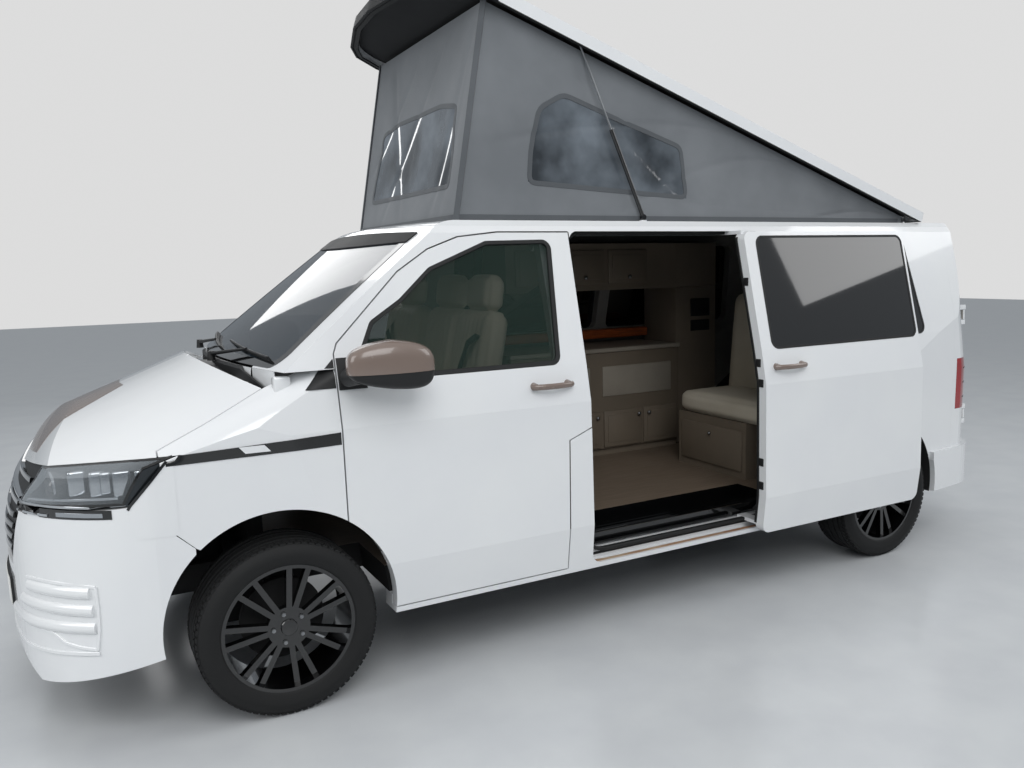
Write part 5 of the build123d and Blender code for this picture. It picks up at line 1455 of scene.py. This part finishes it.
@dataclass(frozen=True)
class Tent:
    """The grey fabric walls under the raised roof, with their clear windows and binding."""

    rear: float = -2.075
    front: float = 0.835
    half: float = 0.668
    base: float = 1.9265
    lean: float = 0.18
    hinge_x: float = -2.150
    hinge_z: float = 1.950
    tilt: float = math.radians(18)
    under: float = -0.0165
    slack: float = 0.016
    # Slope, place, width and depth of each fold, as shares of its wall but for the depth
    folds: tuple = ((0.9, 0.30, 0.020, 0.006), (-0.7, 0.55, 0.025, 0.007), (1.4, 0.75, 0.018, 0.005),
                    (-1.2, 0.95, 0.022, 0.006), (0.2, 0.15, 0.030, 0.005), (2.2, 1.25, 0.020, 0.005))
    side_window: tuple = ((0.404, 2.424), (0.276, 2.493), (-0.404, 2.291), (-0.442, 2.046), (0.466, 2.096),
                          (0.452, 2.240))
    front_window: tuple = ((0.300, 2.470), (0.487, 2.440), (0.531, 2.084), (-0.531, 2.084), (-0.487, 2.440),
                           (-0.300, 2.470))
    rows: int = 72
    side_columns: int = 220
    front_columns: int = 104
    sheet_size: tuple = (7.2, 0.95)
    sheet_area: float = 3.94

    @staticmethod
    def _traits(wall: str) -> tuple[int, float, Vector]:
        """Side number, phase of the folds and outward direction of a wall."""
        return {"left": (1, 0.3, Vector((0, 1, 0))), "front": (0, 1.7, Vector((1, 0, 0.18))),
                "right": (-1, 2.9, Vector((0, -1, 0)))}[wall]

    def _roof_at(self, x: float) -> float:
        """Height of the roof's underside at a length."""
        u = (x - self.hinge_x + self.under * math.sin(self.tilt)) / math.cos(self.tilt)
        return self.hinge_z + u * math.sin(self.tilt) + self.under * math.cos(self.tilt)

    def _height(self, foot: float, share: float) -> float:
        """Height of a wall from its foot to the roof.

        Args:
            foot: length that it stands at.
            share: how much of the front wall's lean it has.

        Returns:
            The height.
        """
        height = 0.1
        for _ in range(12):
            height = self._roof_at(foot - self.lean * share * height) - self.base
        return height

    def _inset(self, a: float, t: float, phase: float) -> float:
        """How far the slack cloth hangs in.

        Args:
            a: place along the wall, as a share.
            t: height, as a share.
            phase: what sets one wall's folds apart from another's.

        Returns:
            The distance in from the flat wall.
        """
        edge = min(1.0, 6 * t) * min(1.0, 6 * (1 - t)) * min(1.0, 9 * a + 0.02) * min(1.0, 9 * (1 - a) + 0.02)
        deep = self.slack * math.sin(math.pi * t) * math.sin(math.pi * a)
        for k, (slope, at, width, depth) in enumerate(self.folds):
            across = a + slope * t * 0.35 - at + 0.04 * math.sin(3 * t + phase + k)
            deep += depth * math.exp(-(across / width) ** 2)
        deep += 0.0035 * noise.noise(Vector((a * 9 + phase, t * 4, phase)))
        return max(0.0, edge * deep)

    def _column(self, wall: str, a: float) -> list[Vector]:
        """Points from the bottom to the top of a wall.

        Args:
            wall: "left", "front" or "right".
            a: place along it, from rear to front, or from left to right.

        Returns:
            The points.
        """
        side, phase, _ = self._traits(wall)
        share = a ** 3 if side else 1.0
        foot = self.rear + (self.front - self.rear) * a if side else self.front
        height = self._height(foot, share)
        made = []
        for t in between(0, 1, self.rows):
            deep = self._inset(a, t, phase)
            x = foot - self.lean * share * height * t
            y = side * (self.half - deep) if side else self.half * (1 - 2 * a)
            made.append(Vector((x if side else x - deep, y, self.base + height * t)))
        return made

    def _place(self, wall: str, u: float, z: float) -> Vector:
        """Point of a wall's slack cloth.

        Args:
            wall: "left", "front" or "right".
            u: length on a side wall, width on the front.
            z: height.

        Returns:
            The point.
        """
        side, phase, _ = self._traits(wall)
        rise = z - self.base
        if not side:
            x = self.front - self.lean * rise
            deep = self._inset((1 - u / self.half) / 2, rise / (self._roof_at(x) - self.base), phase)
            return Vector((x - deep, u, z))
        a = 0.8
        for _ in range(12):
            a = (u + self.lean * a ** 3 * rise - self.rear) / (self.front - self.rear)
        height = self._height(self.rear + (self.front - self.rear) * a, a ** 3)
        return Vector((u, side * (self.half - self._inset(a, rise / height, phase)), z))

    def _glazed(self, wall: str, point: Vector) -> bool:
        """Whether a point of a wall is in its window.

        Args:
            wall: "left", "front" or "right".
            point: the point.

        Returns:
            True inside the window's outline.
        """
        outline = self.front_window if wall == "front" else self.side_window
        u, v = (point.y if wall == "front" else point.x), point.z
        inside = False
        for (a, b), (c, d) in zip(outline, outline[1:] + outline[:1]):
            if (b > v) != (d > v) and u < a + (c - a) * (v - b) / (d - b):
                inside = not inside
        return inside

    def build(self) -> None:
        """Make the cloth, its film windows and its binding."""
        plan = ([("left", a) for a in between(0.005, 1, self.side_columns)]
                + [("front", a) for a in between(0, 1, self.front_columns)][1:]
                + [("right", a) for a in between(1, 0.005, self.side_columns)][1:])
        columns = [self._column(wall, a) for wall, a in plan]
        walls = self._cloth(plan, columns)
        binding = self._binding(columns)
        for piece in (walls, binding):
            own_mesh(piece)

    def _cloth(self, plan: Sequence[tuple[str, float]],
               columns: Sequence[Sequence[Vector]]) -> bpy.types.Object:
        """Join the columns to one cloth, with film where its windows are.

        Args:
            plan: the wall and the place of each column.
            columns: the points of each column.

        Returns:
            The cloth.
        """
        cloth = Form("canvas_walls")
        verts = [[cloth.bm.verts.new(p) for p in column] for column in columns]
        for (wall, _), first, second in zip(plan[1:], verts, verts[1:]):
            for i in range(self.rows):
                face = cloth.bm.faces.new((first[i], first[i + 1], second[i + 1], second[i]))
                # Window faces take the film, with its painted reflection and painted shade
                face.material_index = int(self._glazed(wall, face.calc_center_median()))
        walls = cloth.made(CANVAS, smooth=60, more=(FILM,))
        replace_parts(walls, "canvas")
        return walls

    def _binding(self, columns: Sequence[Sequence[Vector]]) -> bpy.types.Object:
        """Tape round the windows, down the two front corners and along the foot.

        Args:
            columns: the points of each column of the cloth.

        Returns:
            The binding.
        """
        tape = Form("canvas_binding")
        for wall, outline in (("left", self.side_window), ("right", self.side_window),
                              ("front", self.front_window)):
            path = [self._place(wall, *p) for p in dense(rounded(outline, 0.035, 5), 0.03)]
            tape.swept(path, strip(0.022, 0.0025, 0.004), lambda i, w=wall: self._traits(w)[2], True)
        for at, y in ((self.side_columns, 1), (self.side_columns + self.front_columns, -1)):
            tape.swept(columns[at], strip(0.026, 0.003, 0.003), lambda i, o=Vector((1, y, 0)): o)
        foot = [column[0] + Vector((0, 0, 0.013)) for column in columns[3:-3:4]]
        tape.swept(foot, strip(0.024, 0.003, 0.003), lambda i: foot[i] - Vector((-0.6, 0, foot[i].z)))
        return tape.made(TAPE, smooth=40)


@dataclass(frozen=True)
class Roof:
    """Rubber edge and front trim of the raised roof."""

    hinge_x: float = -2.150
    hinge_z: float = 1.950
    tilt: float = math.radians(18)
    outline: tuple = ((0.02, 0.728), (1.0, 0.728), (2.0, 0.728), (2.96, 0.728), (3.088, 0.684),
                      (3.152, 0.575), (3.225, 0.29), (3.245, 0.0))
    front_u: float = 2.93

    def _place(self, u: float, y: float, v: float) -> Vector:
        """Point of the roof by its place along it, across it and up from its middle plane."""
        sine, cosine = math.sin(self.tilt), math.cos(self.tilt)
        return Vector((self.hinge_x + u * cosine - v * sine, y, self.hinge_z + u * sine + v * cosine))

    def build(self) -> None:
        """Lay a black seal round under the roof's edge, and a trim on its front edge."""
        outline = dense(list(self.outline) + [(u, -y) for u, y in reversed(self.outline[:-1])], 0.04)
        path = [self._place(u - 0.012, y * 0.985, -0.0155) for u, y in outline[:-2]]
        seal = Form("roof_edge_seal")
        down = Vector((math.sin(self.tilt), 0, -math.cos(self.tilt)))
        seal.swept([p for p in path if p.x > -2.10], strip(0.020, 0.0025, 0.004), lambda i: down)
        seal.made(RUBBER, "pop_roof")
        edge = Form("roof_front_trim")
        path, outs = [], []
        for u, y in outline:
            if u > 2.955 or (u > 2.90 and abs(y) >= 0.70):
                ahead = max(0.0, u - self.front_u)
                out = Vector((ahead * math.cos(self.tilt), 0.35 * y, ahead * math.sin(self.tilt)))
                outs.append(out.normalized())
                path.append(self._place(u, y, 0.012) + outs[-1] * 0.009)
        edge.swept(path, strip(0.064, 0.008, 0.004), lambda i: outs[i])
        edge.made(RUBBER, "pop_roof")


@dataclass(frozen=True)
class Cushion:
    """A padded block with rounded edges, a crown, channels and soft puckers.

    size is taken before padding, place sets its middle and its turn, flutes are the channels' places across
    its seen face, face is the axis that the face points along, and node is the CAD node that it stands for.
    """

    name: str
    size: Point
    place: Matrix
    node: str
    flutes: tuple = ()
    edge: float = 0.045
    crown: float = 0.010
    face: int = 0
    channel: float = 0.009
    pucker: float = 0.004
    fill: float = 0.7

    def build(self) -> bpy.types.Object:
        """Make the cushion.

        Returns:
            Its piece.
        """
        form = Form(self.name)
        bmesh.ops.create_cube(form.bm, size=1.0, matrix=Matrix.Diagonal((*self.size, 1)))
        bmesh.ops.subdivide_edges(form.bm, edges=form.bm.edges[:], cuts=26, use_grid_fill=True)
        for vert in form.bm.verts:
            vert.co = self._shaped(vert.co.copy())
        bmesh.ops.transform(form.bm, matrix=self.place, verts=form.bm.verts[:])
        piece = form.made(COVER, smooth=60)
        return piece

    def _shaped(self, pos: Vector) -> Vector:
        """Move a point of the plain block to where the padding puts it.

        Args:
            pos: the point.

        Returns:
            Its new place.
        """
        half = [s / 2 for s in self.size]
        share = [max(-1.0, min(1.0, pos[i] / half[i])) for i in range(3)]
        inner = Vector([max(-half[i] + self.edge, min(half[i] - self.edge, pos[i])) for i in range(3)])
        away = pos - inner
        if away.length > 1e-6:
            pos = inner + away.normalized() * self.edge
        for i in range(3):
            if abs(share[i]) > 0.999:
                pos[i] += (math.copysign(self.crown, share[i]) * (1 - share[(i + 1) % 3] ** 4)
                           * (1 - share[(i + 2) % 3] ** 4))
        if share[self.face] > 0.2 or abs(share[2 - self.face]) > 0.98:
            for at in self.flutes:
                groove = math.exp(-((pos[1] - at) / self.channel) ** 2)
                pos[self.face] -= self.channel * groove * max(0.0, share[self.face])
        ripple = noise.noise(Vector(share) * 3 + Vector((self.size[0], self.size[1] * 7, 0)))
        return pos * (1 + self.pucker * ripple)


@dataclass(frozen=True)
class Seats:
    """Cab seats and the bench's upholstery."""

    # Name, middle across the van, width and CAD node of each cab seat
    cab: tuple = (("driver", -0.430, 0.470, "driver_seat"), ("middle", 0.135, 0.370, "double_seat"),
                  ("passenger", 0.510, 0.370, "double_seat"))
    # Length, height, length and height of its middle, and lean in degrees
    pad: tuple = (0.480, 0.140, (0.900, 0.945), -4)
    back: tuple = (0.110, 0.560, (0.700, 1.240), -12)
    head: tuple = (0.090, 0.160, (0.632, 1.600), -8)
    head_width: float = 0.250
    flute_shares: tuple = (-0.30, -0.18, -0.06, 0.06, 0.18, 0.30)
    bench_pad: Point = (0.400, 0.760, 0.120)
    bench_pad_middle: Point = (-1.090, 0.410, 0.888)
    bench_back: Point = (0.110, 0.640, 0.680)
    bench_back_middle: Point = (-1.345, 0.348, 1.178)
    # Length and height of a headrest post's foot and top
    post: tuple = ((0.645, 1.49), (0.634, 1.58))
    post_gap: float = 0.06
    post_radius: float = 0.006
    belt_strip: Point = (0.045, 0.002, 0.0)

    def build(self) -> None:
        """Make every cushion."""
        for name, y, width, node in self.cab:
            self._seat(name, y, width, node)
        for cover in (Cushion("bench_seat_pad", self.bench_pad, self._at(self.bench_pad_middle),
                              "bench_cushion", crown=0.012, face=2),
                      Cushion("bench_back_pad", self.bench_back, self._at(self.bench_back_middle, -5),
                              "bench_backrest", (0.0,), crown=0.012)):
            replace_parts(cover.build(), cover.node)

    @staticmethod
    def _at(middle: Point, lean: float = 0) -> Matrix:
        """Place of a cushion that leans back by some degrees."""
        return Matrix.Translation(middle) @ Matrix.Rotation(math.radians(lean), 4, "Y")

    def _seat(self, name: str, y: float, width: float, node: str) -> None:
        """Pad, backrest, headrest and belt of one cab seat.

        Args:
            name: the seat's name.
            y: its middle across the van.
            width: its width.
            node: the CAD node that it stands for.
        """
        flutes = tuple(width * share for share in self.flute_shares)
        covers = []
        for part, (long, high, (x, z), lean), wide, lines, edge, crown, face in (
                ("seat_pad", self.pad, width, flutes, 0.045, 0.010, 2),
                ("seat_back", self.back, width, flutes, 0.045, 0.010, 0),
                ("headrest", self.head, self.head_width, (), 0.040, 0.008, 0)):
            cover = Cushion(f"{part}_{name}", (long, wide, high), self._at((x, y, z), lean), node, lines, edge,
                            crown, face)
            covers.append(cover.build())
        posts = Form(f"headrest_posts_{name}")
        for at in (y - self.post_gap, y + self.post_gap):
            posts.bar(*((x, at, z) for x, z in self.post), self.post_radius)
        posts.made(STEEL)
        if name != "middle":
            self._belt(name, y)
        for cover in covers:
            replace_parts(cover, node)

    def _belt(self, name: str, y: float) -> None:
        """Belt from the pillar down across an outer seat's back.

        Args:
            name: the seat's name.
            y: its middle across the van.
        """
        belt = Form(f"seat_belt_{name}")
        side = 1 if y > 0 else -1
        path = [(0.50, side * 0.80, 1.62), (0.60, y + side * 0.16, 1.52), (0.765, y + side * 0.08, 1.38),
                (0.775, y - side * 0.05, 1.20), (0.84, y - side * 0.20, 1.03)]
        belt.swept(path, strip(*self.belt_strip), lambda i: Vector((1, 0, 0.3)))
        belt.made(RUBBER)


@dataclass(frozen=True)
class Cabin:
    """Cabinet doors, knobs, worktop edge and shelf trim."""

    front_thickness: float = 0.024
    # Rear and front end, and foot and top, of the kitchen's front board
    front_x: tuple = (-1.198, 0.055)
    front_z: tuple = (0.545, 1.166)
    # Rear and front end, and underside and top, of the worktop's edge
    worktop_x: tuple = (-1.205, 0.065)
    worktop_z: tuple = (1.168, 1.196)
    worktop_overhang: float = 0.040
    bench_door_y: tuple = (0.060, 0.590)
    bench_door_z: tuple = (0.545, 0.775)
    # Length at its middle and width of each door, and its knob's place from its middle
    kitchen_doors: tuple = ((-0.130, 0.28, 0.11), (-0.430, 0.28, -0.11), (-0.745, 0.29, -0.115),
                            (-1.045, 0.27, 0.105))
    kitchen_z: float = 0.672
    kitchen_height: float = 0.235
    kitchen_knob_z: float = 0.755
    locker_xs: Point = (-0.150, -0.480, -0.810)
    locker_z: float = 1.705
    locker_size: tuple = (0.300, 0.210)
    locker_knob_z: float = 1.640
    door_border: float = 0.028
    panel_xs: tuple = ((-1.135, -0.594), (-0.500, -0.050))
    panel_z: tuple = (0.885, 1.078)
    shelf: tuple = ((-1.19, -0.800, 1.225), (0.04, -0.700, 1.285))
    wardrobe: tuple = (((-1.560, -0.780, 0.502), (-1.215, -0.420, 1.560)),
                       ((-1.560, -0.660, 1.562), (-1.215, -0.420, 1.850)))
    vents: tuple = (((-1.500, -0.424, 1.262), (-1.340, -0.412, 1.335)),
                    ((-1.500, -0.424, 1.360), (-1.340, -0.412, 1.480)))

    def build(self) -> None:
        """Make the fittings of the living space."""
        doors, knobs = Form("cabinet_doors"), Form("cabinet_knobs")
        board = Form("kitchen_front")
        back = Surface("kitchen_unit").hit((-0.30, 0.6, 1.12), (0, -1, 0))[0].y
        front = back + self.front_thickness
        (start, end), (low, high) = self.front_x, self.front_z
        board.box((start, back - 0.010, low), (end, front, high), 0.004)
        board.made(LAMINATE)
        for x, width, knob in self.kitchen_doors:
            self._door(doors, (x, front, self.kitchen_z), width, self.kitchen_height)
            self._knob(knobs, (x + knob, front, self.kitchen_knob_z))
        lockers = Surface("overhead_lockers")
        for x in self.locker_xs:
            for z, add in ((self.locker_z, lambda p: self._door(doors, p, *self.locker_size)),
                           (self.locker_knob_z, lambda p: self._knob(knobs, p))):
                add((x, lockers.hit((x, 0.6, z), (0, -1, 0))[0].y, z))
        lead = Surface("bench_base").hit((0.5, 0.30, 0.66), (-1, 0, 0))[0].x
        (right, left), (low, high) = self.bench_door_y, self.bench_door_z
        doors.box((lead - 0.004, right, low), (lead + 0.014, left, high), 0.006)
        knobs.ball((lead + 0.026, 0.330, 0.730), (0.010, 0.010, 0.010))
        for low, high in self.wardrobe:
            doors.box(low, high, 0.006)
        vents = Form("wardrobe_vents")
        for low, high in self.vents:
            vents.box(low, high, 0.004)
        vents.made(RUBBER)
        doors.made(LAMINATE)
        knobs.made(STEEL)
        panels = Form("kitchen_panels")
        for start, end in self.panel_xs:
            panels.box((start, front - 0.004, self.panel_z[0]), (end, front + 0.008, self.panel_z[1]), 0.006)
        (start, end), (low, high) = self.worktop_x, self.worktop_z
        panels.box((start, back - 0.02, low), (end, back + self.worktop_overhang, high), 0.008)
        panels.made(PANEL)
        rail = Form("shelf_trim")
        rail.box(*self.shelf, 0.012, 3)
        rail.made(TRIM_WOOD)

    def _door(self, form: Form, middle: Point, width: float, height: float) -> None:
        """A framed door on a front that faces the doorway.

        Args:
            form: the form that takes it.
            middle: the middle of its back.
            width: its width.
            height: its height.
        """
        for border, low, high, bevel in ((0, -0.004, 0.012, 0.006), (self.door_border, 0.008, 0.017, 0.005)):
            half = Vector((width / 2 - border, 0, height / 2 - border))
            near, far = (Vector(middle) + Vector((0, y, 0)) for y in (low, high))
            form.box(near - half, far + half, bevel)

    @staticmethod
    def _knob(form: Form, point: Point) -> None:
        """A round knob on its stem."""
        point = Vector(point)
        form.bar(point + Vector((0, 0.010, 0)), point + Vector((0, 0.028, 0)), 0.005, 0.005, 16)
        form.ball(point + Vector((0, 0.032, 0)), (0.012, 0.009, 0.012))


@dataclass(frozen=True)
class Studio:
    """Floor, light and camera."""

    floor_half: float = 30
    # Name, place, aim, side and power of each lamp
    lamps: tuple = (("key", (2.0, 6.5, 6.0), (0.0, 0.0, 0.8), 5.0, 270),
                    ("fill", (7.0, 1.0, 4.0), (1.5, 0.0, 0.8), 4.0, 140),
                    ("back", (-6.0, 3.0, 5.0), (-1.5, 0.0, 1.0), 4.0, 110),
                    ("right", (0.0, -7.0, 5.0), (0.0, 0.0, 1.0), 4.0, 110))
    surround_strength: float = 0.72
    camera_place: Point = (2.3720, 4.1726, 1.7239)
    camera_degrees: Point = (-119.41, -8.89, -1.30)
    lens_mm: float = 30.17
    shift: tuple = (-0.0349, 0.0151)

    def build(self) -> None:
        """Set up the studio and the photo's view."""
        side = self.floor_half
        mesh = bpy.data.meshes.new("studio_floor")
        corners = [(-side, -side, 0), (side, -side, 0), (side, side, 0), (-side, side, 0)]
        mesh.from_pydata(corners, [], [(0, 1, 2, 3)])
        mesh.materials.append(FLOOR.material())
        floor = bpy.data.objects.new("studio_floor", mesh)
        bpy.context.scene.collection.objects.link(floor)
        for lamp in self.lamps:
            self._lamp(*lamp)
        self._world()
        self._camera()

    @staticmethod
    def _lamp(name: str, place: Point, towards: Point, size: float, power: float) -> None:
        """A square soft lamp.

        Args:
            name: its name.
            place: where it hangs.
            towards: what it points at.
            size: length of its side.
            power: its power in watts.
        """
        data = bpy.data.lights.new(name, "AREA")
        data.size = size
        data.energy = power
        lamp = bpy.data.objects.new(name, data)
        lamp.location = place
        lamp.rotation_euler = (Vector(towards) - Vector(place)).to_track_quat("-Z", "Y").to_euler()
        bpy.context.scene.collection.objects.link(lamp)

    def _world(self) -> None:
        """An even pale surround that the camera sees white, a little brighter above in reflections."""
        world = bpy.data.worlds.new("studio")
        bpy.context.scene.world = world
        world.use_nodes = True
        tree = world.node_tree
        back = tree.nodes["Background"]
        path = add_node(tree, "ShaderNodeLightPath", {}, {})
        place = add_node(tree, "ShaderNodeTexCoord", {}, {})
        height = add_node(tree, "ShaderNodeSeparateXYZ", {}, {"Vector": place.outputs["Generated"]})
        ramp = add_node(tree, "ShaderNodeValToRGB", {}, {"Fac": height.outputs["Z"]})
        ramp.color_ramp.elements[0].color = linear("8E959C")
        ramp.color_ramp.elements[1].color = linear("F4F6F8")
        mixed = add_node(tree, "ShaderNodeMixRGB", {"Color2": linear("FFFFFF")},
                         {"Fac": path.outputs["Is Camera Ray"], "Color1": ramp.outputs["Color"]})
        tree.links.new(mixed.outputs["Color"], back.inputs["Color"])
        back.inputs["Strength"].default_value = self.surround_strength

    def _camera(self) -> None:
        """The camera at the photo's angle."""
        yaw, pitch, roll = (math.radians(a) for a in self.camera_degrees)
        ahead = Vector((math.cos(yaw) * math.cos(pitch), math.sin(yaw) * math.cos(pitch), math.sin(pitch)))
        level = ahead.cross(Vector((0, 0, 1))).normalized()
        upright = level.cross(ahead)
        right = math.cos(roll) * level + math.sin(roll) * upright
        up = math.cos(roll) * upright - math.sin(roll) * level
        data = bpy.data.cameras.new("photo_view")
        data.sensor_width = 36
        data.lens = self.lens_mm
        data.shift_x, data.shift_y = self.shift
        data.clip_start, data.clip_end = 0.05, 100
        camera = bpy.data.objects.new("photo_view", data)
        turn = Matrix((right, up, -ahead)).transposed().to_4x4()
        camera.matrix_world = Matrix.Translation(self.camera_place) @ turn
        bpy.context.scene.collection.objects.link(camera)
        bpy.context.scene.camera = camera
        bpy.context.scene.view_settings.view_transform = "Standard"


def main() -> None:
    """Build the van's looks."""
    logging.basicConfig(level=logging.INFO, format="%(message)s")
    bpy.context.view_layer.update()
    Shell().build()
    for x, place in ((1.708, "front"), (-1.692, "rear")):
        for side, name in SIDES:
            Wheel(x, side, f"{place}_{name}").build()
    for part in (Front(), Sides(), Tail(), Tent(), Roof(), Seats(), Cabin(), Studio()):
        part.build()


if __name__ == "__main__":
    main()
